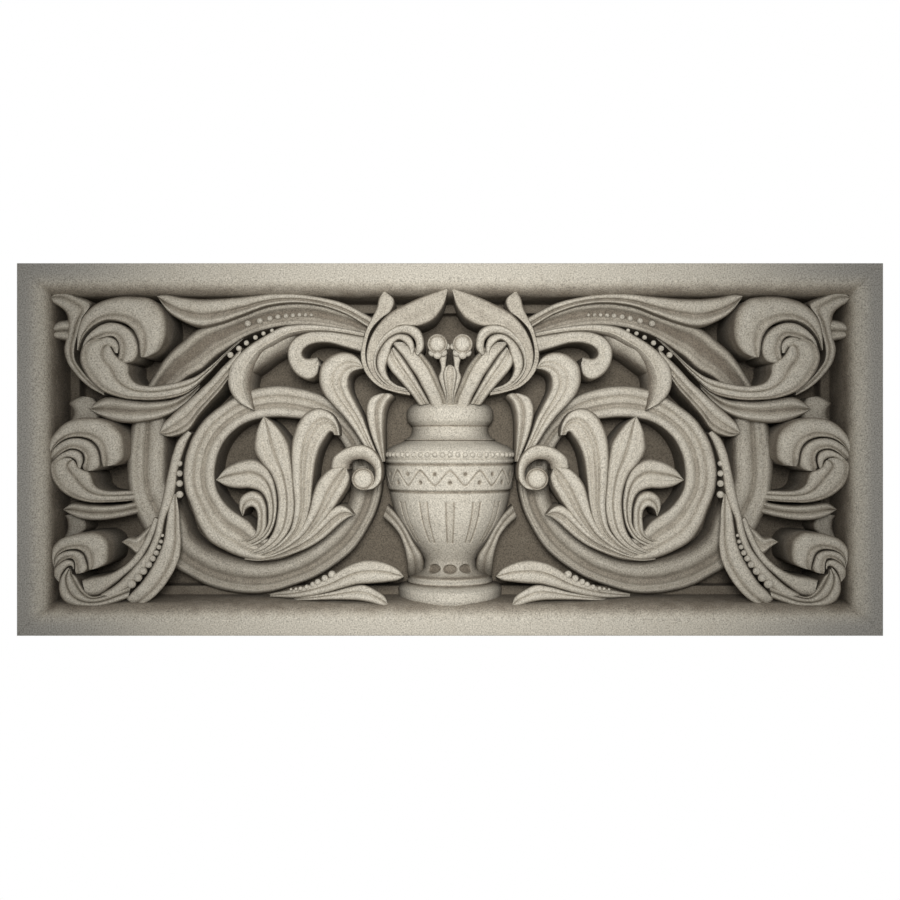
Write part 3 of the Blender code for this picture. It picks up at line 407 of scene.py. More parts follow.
sideLeaves = {
    "cleftLeaf": {
        "rise": 8,
        "cut": crossSections["cleftBlade"],
        "ribs": [(361, 40.5, 361, 40.5, 28), (355, 46.5, 351, 34, 24), (345, 52, 338, 28.5, 22),
            (328, 51, 322, 26.5, 20), (310, 48.5, 306, 28, 20), (292, 48.5, 289, 31.5, 22),
            (276, 50.5, 275, 37.5, 25), (262, 57, 263, 47, 29), (250, 66, 251, 60, 34)],
    },
    "lanceLeaf": {
        "rise": 7,
        "cut": crossSections["cleftBlade"],
        "ribs": [(387, -60, 387, -60, 24), (379, -54, 378, -66, 20), (362, -55, 361, -70.5, 18),
            (343, -56, 342, -70, 20), (326, -54.5, 327, -67.5, 27), (304, -49, 304, -62, 42)],
    },
    "sideLink": {
        "rise": 5,
        "cut": crossSections["roundRoll"],
        "ribs": [(386, -66, 372, -64, 42), (383, -71, 364, -71, 40), (382.5, -78, 363, -78, 40),
            (386, -88, 374, -88, 42)],
    },
    "broadStem": {
        "rise": 9,
        "cut": [(0, 0), (0.06, 0.6), (0.14, 0.95), (0.22, 0.88), (0.28, 0.97), (0.38, 0.85), (0.44, 0.5),
            (0.49, 0.42), (0.56, 0.8), (0.7, 1), (0.88, 0.75), (1, 0)],
        "ribs": [(316, 36, 284, 36, 38), (320, 15, 283, 15, 35), (322.5, 0, 282.5, 0, 34),
            (323, -16, 283, -16, 33), (322.5, -30, 283, -30, 33), (320.5, -44, 280, -42, 33),
            (315, -61, 272, -54, 34), (306.5, -79, 265, -66, 36), (297, -95, 260, -79, 39),
            (287, -108, 256, -90, 44), (276, -118, 252, -97, 52)],
    },
    "spurLeaf": {
        "rise": 6,
        "cut": [(0, 0), (0.2, 1), (0.5, 0.55), (0.8, 0.9), (1, 0)],
        "ribs": [(328.5, -92.5, 328.5, -92.5, 28), (321, -88, 320, -98.5, 24), (314, -88, 312.5, -105, 23),
            (306, -81.5, 306, -100, 24), (298, -74, 299, -86, 27)],
    },
    "beadedStem": {
        "rise": 7,
        "cut": crossSections["roundRoll"],
        "ribs": [(263, 19, 258, 16, 27), (271, 11, 263, 6, 25), (277, -3, 268, -8, 23),
            (281, -19, 272, -22, 21), (284.5, -35, 274, -38, 19), (288, -51, 278, -54, 17),
            (291.5, -66, 284.5, -69, 16), (295, -82, 287.5, -84, 15), (301, -98, 292, -97, 14),
            (311, -112, 299, -112, 13), (323, -125, 309, -127, 12), (336, -136.5, 321, -138, 11),
            (350, -145, 335, -148, 11)],
    },
    "hookedStem": {
        "rise": 8, "undercut": True,
        "cut": [(0, 0.1), (0.07, 0.8), (0.2, 1), (0.45, 0.97), (0.6, 0.8), (0.66, 0.45), (0.73, 0.75),
            (0.86, 0.85), (0.96, 0.75), (1, 0.4)],
        "ribs": [(277, -45, 274, -44, 23), (280.5, -54, 272, -53, 20), (282.5, -63, 270.8, -62, 18),
            (284, -74, 270, -76, 16), (286.5, -90, 269, -91, 14), (292, -105, 271, -109, 13),
            (299.5, -119, 278, -125, 12), (309, -133, 289, -140.5, 12), (319.5, -144, 301, -151.5, 13),
            (323.5, -149.5, 309, -156, 16), (319.5, -153.5, 314, -157, 20)],
    },
    "cuppedStem": {
        "rise": 6,
        "cut": crossSections["roundRoll"],
        "ribs": [(296, -68, 291, -70, 24), (302, -83, 296, -86, 21), (309, -97, 303, -101, 20),
            (318, -109, 312, -114, 19), (330, -119, 325, -126, 18), (345, -125.5, 338, -137, 17),
            (358, -127.5, 352, -146, 16), (368, -130, 364, -147, 14)],
    },
}

stonePiece("sideLeafwork", carvedForms(sideLeaves))

topLeaves = {
    "streamingLeaf": {
        # painted shade: this leaf's top darker than the rest of the carving
        "rise": 8, "darkerBy": 0.2,
        "cut": [(0, 0), (0.08, 0.7), (0.25, 1), (0.45, 0.85), (0.58, 0.35), (0.66, 0.45), (0.82, 0.95),
            (0.92, 0.8), (1, 0)],
        "ribs": [(293, 153.5, 293, 153.5, 10), (285, 155.4, 284, 140, 8), (268, 152.3, 268, 128.5, 7),
            (250, 150.5, 250, 122.8, 8), (228, 151, 230, 126, 8), (205, 153, 208, 134, 8),
            (180, 156, 182, 143.5, 9), (160, 156.3, 160, 146.5, 10), (130, 152.5, 130, 144, 12),
            (105, 146, 106, 136, 15), (76, 131, 82, 122, 21)],
    },
    "channelStem": {
        # painted shade: this stem's top darker than the rest of the carving
        "rise": 9, "darkerBy": 0.3,
        "cut": [(0, 0), (0.06, 0.75), (0.15, 1), (0.24, 0.85), (0.34, 0.42), (0.45, 0.25), (0.56, 0.35),
            (0.66, 0.62), (0.72, 0.58), (0.82, 0.85), (0.92, 0.75), (1, 0)],
        "ribs": [(317, 30, 286, 30, 39), (312, 46, 284, 45, 38), (303, 63, 279, 57, 35),
            (292, 81, 272, 64, 31), (281, 96, 262, 71.5, 28), (267, 108.5, 247, 80, 26),
            (250, 121.5, 234, 92, 25), (230, 128, 218, 103, 25), (208, 135, 204, 112, 25),
            (185, 144, 184, 119, 25), (160, 148, 160, 123, 25), (130, 146, 130, 122, 25),
            (105, 138, 106, 118, 27), (78, 126, 84, 112, 32)],
    },
    "longLeaf": {
        "rise": 8,
        "cut": [(0, 0), (0.07, 0.6), (0.22, 1), (0.4, 0.85), (0.5, 0.5), (0.58, 0.62), (0.7, 0.7),
            (0.78, 0.4), (0.84, 0.6), (0.93, 0.8), (1, 0)],
        "ribs": [(290.5, 17, 290, 16, 26), (288, 24, 283, 13, 22), (279, 34, 271, 14.5, 20),
            (266, 45, 261, 20, 18), (253, 57, 251, 34, 16), (240, 69, 240, 47, 14), (228, 82, 230, 58, 12),
            (218, 92, 223, 68, 12), (208, 102, 213, 84, 12)],
    },
    "sickleLeaf": {
        "rise": 8,
        "cut": [(0, 0), (0.06, 0.7), (0.2, 1), (0.45, 0.95), (0.6, 0.8), (0.66, 0.9), (0.74, 0.7), (1, 0)],
        "ribs": [(86, 117, 86, 112, 26), (108, 121.5, 107, 115.5, 21), (130, 124.3, 128, 117.5, 16),
            (150, 125, 148, 116, 13), (168, 122.5, 162, 112, 11), (184, 114.5, 176, 104, 9),
            (199, 105, 187, 97, 8), (211, 95, 195, 86, 7), (219.5, 84, 199, 76, 7),
            (222.3, 70, 200.5, 68, 8), (219, 56.5, 200, 58, 9), (210, 46, 198, 48, 11),
            (196.5, 39.7, 196.5, 39.7, 15)],
    },
    "sickleFacet": {
        "rise": 16,
        "cut": [(0, 1), (0.3, 0.85), (0.7, 0.5), (1, 0)],
        "ribs": [(152, 117.5, 155, 107, 24), (165, 114, 160.5, 99, 19), (178, 107, 175, 91.5, 15),
            (189, 98, 186, 83.5, 14), (196, 89, 194, 77.5, 14), (199, 80, 198, 75, 16)],
    },
    "hookLeaf": {
        "rise": 8,
        "cut": [(0, 0), (0.1, 0.8), (0.35, 1), (0.6, 0.85), (0.75, 0.95), (0.9, 0.75), (1, 0)],
        "ribs": [(86, 113, 87, 96.5, 24), (105, 116, 103, 101.3, 19), (125, 118.3, 121, 106.2, 15),
            (143, 117, 135, 105.7, 12), (155, 111.5, 143, 102.5, 10), (161.5, 103, 147, 98, 9),
            (162.3, 92, 147, 94, 8), (158.5, 81, 144.5, 91.5, 8), (150, 72.5, 141, 91, 8),
            (141, 69.5, 138, 91.5, 9), (133, 74, 135, 92, 11), (130.5, 83, 133, 92.5, 14)],
    },
    "swanLeaf": {
        "rise": 8,
        "cut": [(0, 0), (0.08, 0.75), (0.22, 1), (0.38, 0.9), (0.45, 0.72), (0.52, 0.9), (0.62, 0.8),
            (0.68, 0.62), (0.76, 0.92), (0.9, 0.8), (1, 0)],
        "ribs": [(87, 82, 87, 81, 13), (91, 90.5, 92, 79.5, 9), (99, 96, 97, 77, 7),
            (109, 97, 100, 73.5, 6), (120, 93, 101, 69.5, 5), (128.5, 84.5, 101, 66, 5),
            (131, 72, 100.5, 61.5, 6), (128, 58.5, 97.5, 54, 8), (119, 46, 91.5, 42.5, 11),
            (107, 33, 86, 31, 14), (96.5, 19.5, 81.5, 18, 17), (87, 5, 76.5, 5, 21), (76, -8, 71, -8, 26)],
    },
    "neckLeaf": {
        "rise": 7,
        "cut": [(0, 0), (0.1, 0.8), (0.3, 1), (0.45, 0.75), (0.55, 0.35), (0.65, 0.6), (0.8, 0.9), (1, 0)],
        "ribs": [(70, 56, 60, 56, 15), (78, 53, 57, 54, 12), (83, 46, 62, 47, 12), (84, 38, 65, 38, 13),
            (82.5, 27, 66, 27, 15), (78.5, 13, 66, 14, 18), (72.5, -2, 65.5, -2, 23),
            (68, -12, 65, -12, 27)],
    },
}

stonePiece("topLeafwork", carvedForms(topLeaves))

greatSpiral = {
    "outerRing": {
        "rise": 13,
        "cut": [(0, 0), (0.04, 0.7), (0.11, 0.95), (0.17, 0.82), (0.22, 0.88), (0.33, 0.45), (0.42, 0.42),
            (0.55, 0.85), (0.68, 1), (0.82, 0.8), (1, 0.1)],
        "ribs": [(292, -62, 266, -42, 64), (295, -85, 264, -64, 46), (287, -108, 260, -79, 38),
            (274, -119, 255, -87, 38), (262, -126, 248.5, -93, 40), (243, -136, 236, -100, 42),
            (222, -142, 220, -106, 42),
            (200, -144.5, 202, -110, 40), (177, -142.5, 183, -111, 40), (155, -136, 166, -108, 40),
            (134, -128, 150, -101, 40), (112, -114, 134, -90, 40), (95, -99, 119, -77, 41),
            (82, -79, 107, -63, 42), (73, -60, 100, -48, 43), (68, -40, 99, -34, 44), (68, -18, 98, -16, 46)],
    },
    "innerRing": {
        "rise": 9,
        "cut": [(0, 0), (0.06, 0.7), (0.16, 0.95), (0.27, 0.85), (0.32, 0.6), (0.4, 0.8), (0.5, 0.8),
            (0.6, 0.45), (0.66, 0.5), (0.72, 0.85), (0.84, 1), (0.95, 0.75), (1, 0)],
        "ribs": [(70, -22, 98, -20, 50), (76, 0, 102, -6, 48), (86, 18, 109, 8, 44), (99, 33, 120, 20, 39),
            (113, 46, 133, 27, 34), (130, 55.5, 145, 29.5, 30), (150, 61.5, 157, 31, 27),
            (170, 64, 170, 32, 25), (190, 62, 186, 31, 24), (210, 55.5, 202, 27, 23),
            (229, 44, 215, 19, 22), (246, 30, 225, 8, 22), (258, 12, 231, -4, 22), (265, -8, 234, -17, 22),
            (267, -26, 234.5, -29, 22), (265, -42, 232.5, -40, 22), (259, -57, 227, -50, 22),
            (252, -75, 219, -59, 22), (240, -92, 209, -66, 22), (224, -101.5, 200, -72, 22),
            (206, -108.5, 192, -82, 22), (190, -111, 183, -88, 23), (172, -110, 170, -90, 25),
            (155, -104, 157, -88, 28), (140, -95, 145, -84, 32)],
    },
}

stonePiece("greatSpirals", carvedForms(greatSpiral))

palmette = {
    "fanHook": {
        "rise": 6,
        "cut": [(0, 0), (0.1, 0.7), (0.3, 1), (0.48, 0.7), (0.54, 0.5), (0.62, 0.75), (0.8, 1),
            (0.93, 0.7), (1, 0)],
        "ribs": [(207.5, -66.5, 206.5, -66, 26), (211, -57, 204, -60, 20), (209, -47.5, 200, -57.5, 17),
            (200, -41.8, 197, -57.5, 15), (190, -44.5, 194, -60.5, 14), (184.5, -54, 192.5, -66, 14),
            (183, -67, 193, -75, 15), (183.5, -78, 194.5, -83, 16.5), (187.5, -86, 199, -88.5, 18),
            (193.5, -91.5, 205, -90.5, 20), (203, -95, 212, -91, 24)],
    },
    "fanSideLeaf": {
        "rise": 7,
        "cut": [(0, 0), (0.1, 0.8), (0.24, 1), (0.38, 0.85), (0.45, 0.4), (0.53, 0.8), (0.66, 1),
            (0.74, 0.85), (0.82, 0.92), (0.93, 0.7), (1, 0)],
        "ribs": [(234, -30.5, 234, -30.5, 26), (224, -18.5, 224, -36.5, 20), (210, -11.5, 211, -39, 18),
            (196, -9.5, 200, -39, 17), (184, -16.5, 190.5, -42, 16), (177, -28, 185, -48.5, 15),
            (173.5, -42, 182.5, -58, 15), (172.5, -56, 182, -69, 15), (174, -69, 183, -76, 16),
            (177.5, -80, 187, -83, 17), (183, -88.5, 193, -88.5, 18.5), (191, -94.5, 202, -92, 21),
            (203, -99.5, 211, -95.5, 25)],
    },
    "fanTallLeaf": {
        "rise": 8,
        "cut": [(0, 0), (0.08, 0.75), (0.2, 0.95), (0.27, 0.85), (0.35, 0.95), (0.46, 0.88), (0.52, 0.5),
            (0.58, 0.85), (0.68, 0.97), (0.74, 0.85), (0.82, 0.95), (0.93, 0.7), (1, 0)],
        "ribs": [(186.5, 33, 186, 33, 16), (191, 25, 177, 27, 12), (195, 12, 168, 17, 10),
            (195.5, -1, 161, 5, 9), (189, -13, 158.5, -9, 9), (180, -23.5, 157, -23, 9),
            (174, -38, 156, -38, 10), (172, -54, 155, -53, 11), (173.5, -69, 156, -67, 12),
            (176.5, -81, 160, -80, 13.5), (182, -90, 167.5, -91, 15), (190, -97, 178, -99.5, 18),
            (202, -102.5, 193, -105, 22), (212, -104, 208, -106, 26)],
    },
    "fanGreatCurl": {
        "rise": 8,
        "cut": [(0, 0), (0.08, 0.8), (0.22, 1), (0.34, 0.93), (0.42, 0.6), (0.49, 0.85), (0.58, 0.62),
            (0.66, 0.88), (0.76, 0.72), (0.86, 0.9), (0.94, 0.7), (1, 0)],
        "ribs": [(110, 14.5, 116, 14.5, 13), (112, 25.5, 117.5, 17, 8), (119, 36.5, 119.5, 17.5, 6),
            (131, 41.5, 121, 16, 5), (144, 36.5, 123, 13, 5), (152, 26, 126, 8.5, 5),
            (157, 12, 130.5, 0, 6), (159, -5, 134, -12, 7), (158.5, -22, 136, -26, 8),
            (157.5, -38, 137.5, -40, 9), (156, -54, 139, -54, 10), (157, -68, 143, -70, 12),
            (160, -80, 149, -82, 14), (166.5, -89, 158, -92, 16), (176, -97.5, 170, -101, 19),
            (190, -103.5, 187, -107, 23), (200, -106, 199, -108.5, 27)],
    },
    "fanLobe": {
        "rise": 8,
        "cut": [(0, 0), (0.08, 0.8), (0.25, 1), (0.4, 0.85), (0.48, 0.5), (0.57, 0.8), (0.66, 0.55),
            (0.78, 0.92), (0.93, 0.7), (1, 0)],
        "ribs": [(108, -17.3, 103, -19.5, 13), (118, -18.5, 99.8, -27, 9), (127, -25, 102, -36.5, 8),
            (134, -35, 107.5, -46, 8), (138, -47, 114, -56, 9), (141, -60, 121, -65, 10),
            (145.5, -72, 130, -76, 12), (152, -83, 140, -87, 14), (162, -92.5, 153, -97, 17),
            (174, -100.5, 168, -104, 20), (186, -106, 183, -109, 24), (196, -108, 195, -110, 28)],
    },
    "fanLowLobe": {
        "rise": 7,
        "cut": [(0, 0), (0.08, 0.8), (0.25, 1), (0.4, 0.85), (0.48, 0.45), (0.57, 0.8), (0.66, 0.55),
            (0.78, 0.92), (0.93, 0.7), (1, 0)],
        "ribs": [(96, -65.5, 96, -65.5, 20), (101, -59.5, 101.5, -68, 14), (109, -55.5, 109, -73.5, 12),
            (118, -59, 117, -81, 12), (126, -68, 127, -89.5, 13), (135, -78.5, 138, -96.5, 14),
            (147, -88.5, 150, -102, 17), (160, -96.5, 164, -107, 19), (174, -103.5, 178, -110, 21),
            (190, -107.5, 193, -111.5, 24), (204, -107, 206, -110, 28)],
    },
    "smallCrescent": {
        "rise": 6,
        "cut": [(0, 0), (0.12, 0.85), (0.35, 1), (0.6, 0.8), (0.85, 0.4), (1, 0)],
        "ribs": [(119.5, -18, 101, -20, 15), (117, -8, 100, -14, 11), (108, -0.5, 97, -11, 9),
            (97, 4, 92, -9.8, 7), (85, 4.2, 86, -10.3, 6), (75.5, -1.5, 80, -14, 6),
            (69.5, -11, 76, -19, 6), (68, -22, 75, -25, 6), (69.5, -32, 77, -32, 6), (76, -39, 81, -36, 7),
            (85, -41, 86, -37, 9)],
    },
}

stonePiece("palmettes", carvedForms(palmette))

footLeaves = {
    "footLeafUpper": {
        "rise": 8, "undercut": True,
        "cut": crossSections["ribbedBlade"],
        "ribs": [(46, -127, 46, -127, 14), (50, -121.5, 51, -130.3, 9), (61, -114.5, 63, -132.5, 7),
            (77, -110.5, 78, -134, 6), (92, -112, 92, -135, 7), (106, -118, 104, -138, 9),
            (120, -127, 118, -142, 13), (136, -133.5, 134, -146, 18), (155, -139, 155, -148.5, 27),
            (180, -144, 180, -147.5, 44)],
    },
    "footLeafLower": {
        "rise": 7, "undercut": True,
        "cut": crossSections["ribbedBlade"],
        "ribs": [(62, -155, 62, -156.6, 12), (64, -148.5, 68, -156.6, 8), (74, -140.5, 79, -153.3, 7),
            (86, -135.3, 92, -151, 8), (100, -137, 106, -150.5, 11), (116, -141.5, 122, -150.5, 15),
            (136, -145.5, 142, -151, 20), (162, -148, 162, -150.5, 42)],
    },
    "bodyCalyx": {
        "rise": 6,
        "cut": [(0, 0), (0.08, 0.7), (0.26, 1), (0.42, 0.85), (0.52, 0.45), (0.6, 0.8), (0.78, 1),
            (0.93, 0.7), (1, 0)],
        "ribs": [(67, -68, 62, -55, 52), (58, -76, 52, -66, 46), (50, -87, 43, -80, 43),
            (46, -98, 36, -93, 42), (43.5, -110, 28, -106, 45), (42.5, -121, 26, -117, 57),
            (42, -127, 27, -126, 69)],
    },
}

stonePiece("footLeafwork", carvedForms(footLeaves))

bouquet = {
    "petalBack": {
        # painted shade: this petal's top darker than the rest of the carving
        "rise": 5, "darkerBy": 0.35,
        "cut": crossSections["petal"],
        "ribs": [(66.5, 158.5, 65.5, 158.5, 8), (71, 151.5, 56, 150, 4), (73.5, 141.5, 59, 138.5, 4),
            (78.5, 131, 68.5, 131, 5), (83.5, 120.5, 78, 121, 6), (87, 108, 83, 108, 8),
            (89.3, 95, 84.5, 95, 11), (87.5, 83, 82.5, 84, 14), (81, 71.5, 76, 72.5, 18),
            (70.5, 62.5, 68, 65, 22), (56, 57.5, 55, 60, 27), (40, 54, 40, 57.5, 33)],
    },
    "greatPetal": {
        # painted shade: this petal's top darker than the rest of the carving
        "rise": 5, "darkerBy": 0.45,
        "cut": crossSections["petal"],
        "ribs": [(3.5, 160.7, 2.3, 159, 4), (14, 158, 5, 147, 2), (30, 152, 9.5, 138, 1),
            (46, 144.5, 17, 129.5, 1), (59, 137.5, 31, 123.5, 2), (69, 128.5, 48, 124, 3),
            (76.5, 118, 61, 117.5, 5), (81.5, 106.5, 70, 107.5, 7), (83.7, 94, 75, 95, 10),
            (82, 82.5, 76, 83, 13), (76, 72, 71.5, 72.5, 17), (65.5, 63, 63.5, 65, 22),
            (50, 58, 50, 60.5, 28)],
    },
    "curlOuter": {
        "rise": 7,
        "cut": [(0, 0), (0.12, 0.7), (0.3, 0.98), (0.45, 1), (0.65, 0.85), (0.85, 0.7), (1, 0.3)],
        "ribs": [(42, 57.5, 42, 59.5, 30), (57, 61, 56, 63, 24), (69, 69.5, 67, 71, 18),
            (76, 81, 73.5, 82, 13), (76.5, 93, 73.5, 93, 9), (73, 105.5, 68.5, 103.5, 6),
            (64.5, 116.5, 60.5, 112, 4), (52, 124, 50.5, 116.3, 2), (39, 124.8, 41, 115.3, 1),
            (30, 119.5, 35.5, 110.5, 1), (26, 109.5, 34, 104.5, 2), (26.3, 100.5, 34.3, 99.5, 4),
            (31, 94.5, 35, 95.5, 8)],
    },
    "curlInner": {
        "rise": 6,
        "cut": [(0, 0.2), (0.12, 0.75), (0.3, 0.95), (0.6, 1), (0.85, 0.85), (1, 0.1)],
        "ribs": [(44, 58.5, 43, 61, 32), (57, 62.5, 54.5, 65.5, 26), (67.5, 70.5, 60.5, 71, 20),
            (73, 81.5, 64, 81, 16), (73, 92.5, 62, 90, 14), (68.5, 103, 60, 97, 12),
            (61.5, 111, 57.5, 105, 10), (52, 115.7, 51, 110, 8), (43, 114.8, 45, 106.5, 7),
            (37.5, 110, 41, 101, 7), (35.5, 103, 39.8, 96, 8), (36, 96, 39, 91.5, 10)],
    },
    "stemOuter": {
        "rise": 7,
        "cut": [(0, 0), (0.08, 0.75), (0.2, 1), (0.34, 0.92), (0.4, 0.6), (0.47, 0.88), (0.56, 0.9),
            (0.62, 0.6), (0.69, 0.88), (0.86, 0.92), (1, 0)],
        "ribs": [(63, 95, 56, 103, 20), (63.5, 88, 50.5, 97, 15), (60, 80, 43.5, 87, 13),
            (52.5, 71, 37, 77, 14), (45, 62.5, 31, 66.5, 18), (38, 54, 25.5, 56.5, 24),
            (31.5, 44.5, 19.5, 46, 33)],
    },
    "stemInner": {
        "rise": 7,
        "cut": [(0, 0), (0.08, 0.75), (0.2, 1), (0.45, 0.97), (0.68, 0.9), (0.74, 0.5), (0.79, 0.85),
            (0.85, 0.5), (0.9, 0.8), (1, 0)],
        "ribs": [(60, 108, 40, 107, 18), (54, 101, 33, 101, 13), (47, 92.5, 25, 93, 10),
            (40, 82, 17.5, 83, 11), (34, 73.5, 12.5, 72.5, 14), (28.5, 63, 8, 61, 19), (23, 53, 4, 52, 25),
            (19, 43, 2, 43, 31)],
    },
    "centreBud": {
        "rise": 5, "sides": (1,),
        "cut": [(0, 0), (0.08, 0.7), (0.18, 0.95), (0.27, 0.85), (0.33, 0.4), (0.4, 0.7), (0.5, 0.8),
            (0.6, 0.7), (0.67, 0.4), (0.73, 0.85), (0.82, 0.95), (0.92, 0.7), (1, 0)],
        "ribs": [(-1.5, 84.6, 1.5, 84.6, 14), (-5, 82, 5, 82, 11), (-7, 76.5, 7, 76.5, 11),
            (-6, 67, 6, 67, 13), (-4, 56, 4, 56, 19), (-3, 43, 3, 43, 30)],
    },
    "budStalk": {
        "rise": 4,
        "cut": crossSections["roundRoll"],
        "ribs": [(11.5, 96, 2.5, 96, 16), (11, 91, 3.2, 91, 14.5), (9.3, 84, 4, 84, 14.5),
            (9.5, 78, 3.5, 78, 16), (11.5, 73, 2.5, 73, 18), (9, 64, 1.5, 64, 21), (5, 52, 0.8, 52, 27),
            (4, 44, 0.5, 44, 31)],
    },
}

stonePiece("bouquetOfFlowers", carvedForms(bouquet))

urn = {
    "axisDepth": 72,
    # height on the front plane, and half width there
    "profile": [(46.4, 30), (45.6, 35), (43.2, 39.6), (38.5, 42.8), (33, 43.5), (28, 42.4), (25, 40),
        (22.5, 37.9), (18, 38.1), (14, 39.6), (11, 43), (9.6, 45.9), (8.9, 44.6), (8.3, 46.2), (7, 49),
        (4, 56.5), (0.5, 62), (-2, 64.3), (-5, 64.6), (-8, 64.3), (-9.2, 63.4), (-9.8, 64.9), (-11.2, 65.2),
        (-12.6, 64.7), (-13.4, 62.3), (-15.4, 62), (-16.1, 63.6), (-38.2, 62.1), (-39.2, 61), (-40, 58.4),
        (-41.4, 58.2), (-42.4, 59.8), (-50, 58.4), (-66, 53.9), (-84, 44), (-94, 36.4), (-99.5, 32),
        (-106, 27.5), (-110.5, 25.6), (-116.5, 26), (-121, 29.5), (-124, 35.5), (-125.6, 40), (-128, 40.9),
        (-128.7, 42.4), (-131, 42.8), (-131.8, 41.6), (-132.6, 46), (-134.2, 50), (-137, 52), (-143, 51.6),
        (-149, 48.8), (-154, 44), (-157.3, 37.5)],
    # height, and how far forward the foot swells there, times its radius
    "swell": [(-125, 1), (-132, 1.1), (-137, 1.2), (-149, 1.2)],
    # height and half width of the lines darkened with painted shade and dust
    "grooves": [(23, 0.8), (8.9, 0.8), (-14.4, 1.2), (-40.7, 1.2), (-125, 1.5), (-131.6, 1.2)],
    "shadeAndDustPerCut": 0.8,
    "waves": 0.5,                     # times the panel's unevenness
    "points": (370, 240),             # up the urn, and round its front half
    # cut lines have a depth and a width; turn is the angle from one mark to the next
    "zigzag": {"turn": 0.47, "top": -20, "foot": -34.5, "cut": 1.1, "width": 0.9, "slant": 0.7,
               "bend": 0.35, "bendStretch": 1.24, "lip": 0.35, "lipPlace": 2.1},
    "dots": {"radius": 1.8, "cut": 2.3, "upper": -23.5, "lower": -31.5},
    "frieze": {"foot": (-38, -36.5), "top": (-18.2, -16.8)},     # between which zigzag and dots fade out
    "flutes": {"turn": 0.46, "halfTurn": 0.07, "top": -50.5, "foot": -90.5, "floor": 0.3, "line": 1,
               "lineWidth": 0.75, "count": 5, "floorEdge": (0.9, 1.1), "endFade": 0.05,
               "heightFade": (0.6, 1.2)},
    "ovals": {"height": -117, "halfHeight": 4.6, "halfTurn": 0.28, "turn": 0.64, "cut": 3,
              "edge": (0.72, 1.05), "last": (1.5, 1.6)},
    "beads": {"height": -5, "radius": 2.7, "turn": 0.112, "count": 27},
}


def nearest(turn, period, shift=0.0):
    # angle from the nearest of marks a period apart, the first at shift
    return (turn - shift + period / 2) % period - period / 2


def urnCuts(turn, up, radius):
    # how far the stone is cut back at an angle from the front and a height: the sum of the lines of zigzag and
    # flutes, each its depth * exp(-(distance / width)^2), the dots, the same round a point, and the flat ovals
    zigzag, dots, frieze, flutes, ovals = (urn[key] for key in ("zigzag", "dots", "frieze", "flutes", "ovals"))
    share = np.abs(nearest(turn, zigzag["turn"])) / (zigzag["turn"] / 2)
    stretch = zigzag["bendStretch"]
    bent = 0.5 - 0.5 * np.cos(np.pi * np.clip(share * stretch - (stretch - 1) / 2, 0, 1))
    fall = zigzag["bend"] * bent + (1 - zigzag["bend"]) * share
    away = np.abs(up - zigzag["top"] - (zigzag["foot"] - zigzag["top"]) * fall) * zigzag["slant"]
    cut = zigzag["cut"] * np.exp(-(away / zigzag["width"]) ** 2)
    cut = cut - zigzag["lip"] * np.exp(-((away - zigzag["lipPlace"] * zigzag["width"]) / zigzag["width"]) ** 2)
    for shift, height in ((0, dots["lower"]), (zigzag["turn"] / 2, dots["upper"])):
        apart = np.hypot(nearest(turn, zigzag["turn"], shift) * radius, up - height)
        cut = cut + dots["cut"] * np.exp(-(apart / dots["radius"]) ** 2)
    cut = cut * softStep(up, *frieze["foot"]) * (1 - softStep(up, *frieze["top"]))
    end = flutes["turn"] * flutes["count"] / 2
    inFlutes = 1 - softStep(np.abs(turn), end - flutes["endFade"], end)
    apart = np.abs(nearest(turn, flutes["turn"]))
    narrow, wide = flutes["heightFade"]
    height = (softStep(up, flutes["foot"] - wide, flutes["foot"] + narrow)
              * (1 - softStep(up, flutes["top"] - narrow, flutes["top"] + wide)))
    floor = flutes["floor"] * (1 - softStep(apart / flutes["halfTurn"], *flutes["floorEdge"]))
    line = flutes["line"] * np.exp(-(((apart - flutes["halfTurn"]) * radius) / flutes["lineWidth"]) ** 2)
    cut = cut + (floor + line) * height * inFlutes
    oval = np.hypot(nearest(turn, ovals["turn"]) / ovals["halfTurn"],
                    (up - ovals["height"]) / ovals["halfHeight"])
    inOvals = 1 - softStep(np.abs(turn) / ovals["turn"], *ovals["last"])
    return cut + ovals["cut"] * (1 - softStep(oval, *ovals["edge"])) * inOvals


def urnRadius(up):
    # half width at a height on the front plane, as it looks there
    return throughKnots([(-height, width) for height, width in urn["profile"]], -up)


def urnShell():
    # point(v, t) = axis + (radius(v) - cuts(t, v)) * (sin t, -cos t), up v, with t from -90 to 90 degrees
    spread = 1 + urn["axisDepth"] / panel["viewDistance"]
    up = np.linspace(urn["profile"][0][0], urn["profile"][-1][0], urn["points"][0])
    turn = np.linspace(-np.pi / 2, np.pi / 2, urn["points"][1])
    radius = urnRadius(up)
    cuts = urnCuts(turn[None, :], up[:, None], radius[:, None])
    out = (radius[:, None] - cuts) * spread
    swellUp, swellShare = np.array(urn["swell"], float).T
    forward = out * np.interp(-up, -swellUp, swellShare)[:, None]
    points = np.stack([out * np.sin(turn), urn["axisDepth"] - panel["depth"] - forward * np.cos(turn),
                       np.repeat(up[:, None] * spread, len(turn), axis=1)], axis=-1)
    points[..., 1] += chiselWaves(points) * urn["waves"] * np.cos(turn)
    feet = points[:, [-1, 0]]
    feet[..., 1] = panel["footDepth"] - panel["depth"]
    # painted shade, with dust: darker in the cut lines and grooves, and fully so on the walls going back to the
    # feet
    darkerBy = sum(np.exp(-((up - height) / width) ** 2) for height, width in urn["grooves"])
    hollow = np.clip(cuts * urn["shadeAndDustPerCut"] + darkerBy[:, None], 0, 1)
    points = np.concatenate([points, feet], axis=1)
    hollow = np.concatenate([hollow, np.ones((len(up), 2))], axis=1)
    return points.reshape(-1, 3), tubeFaces(len(up), len(turn) + 2), hollow.reshape(-1)


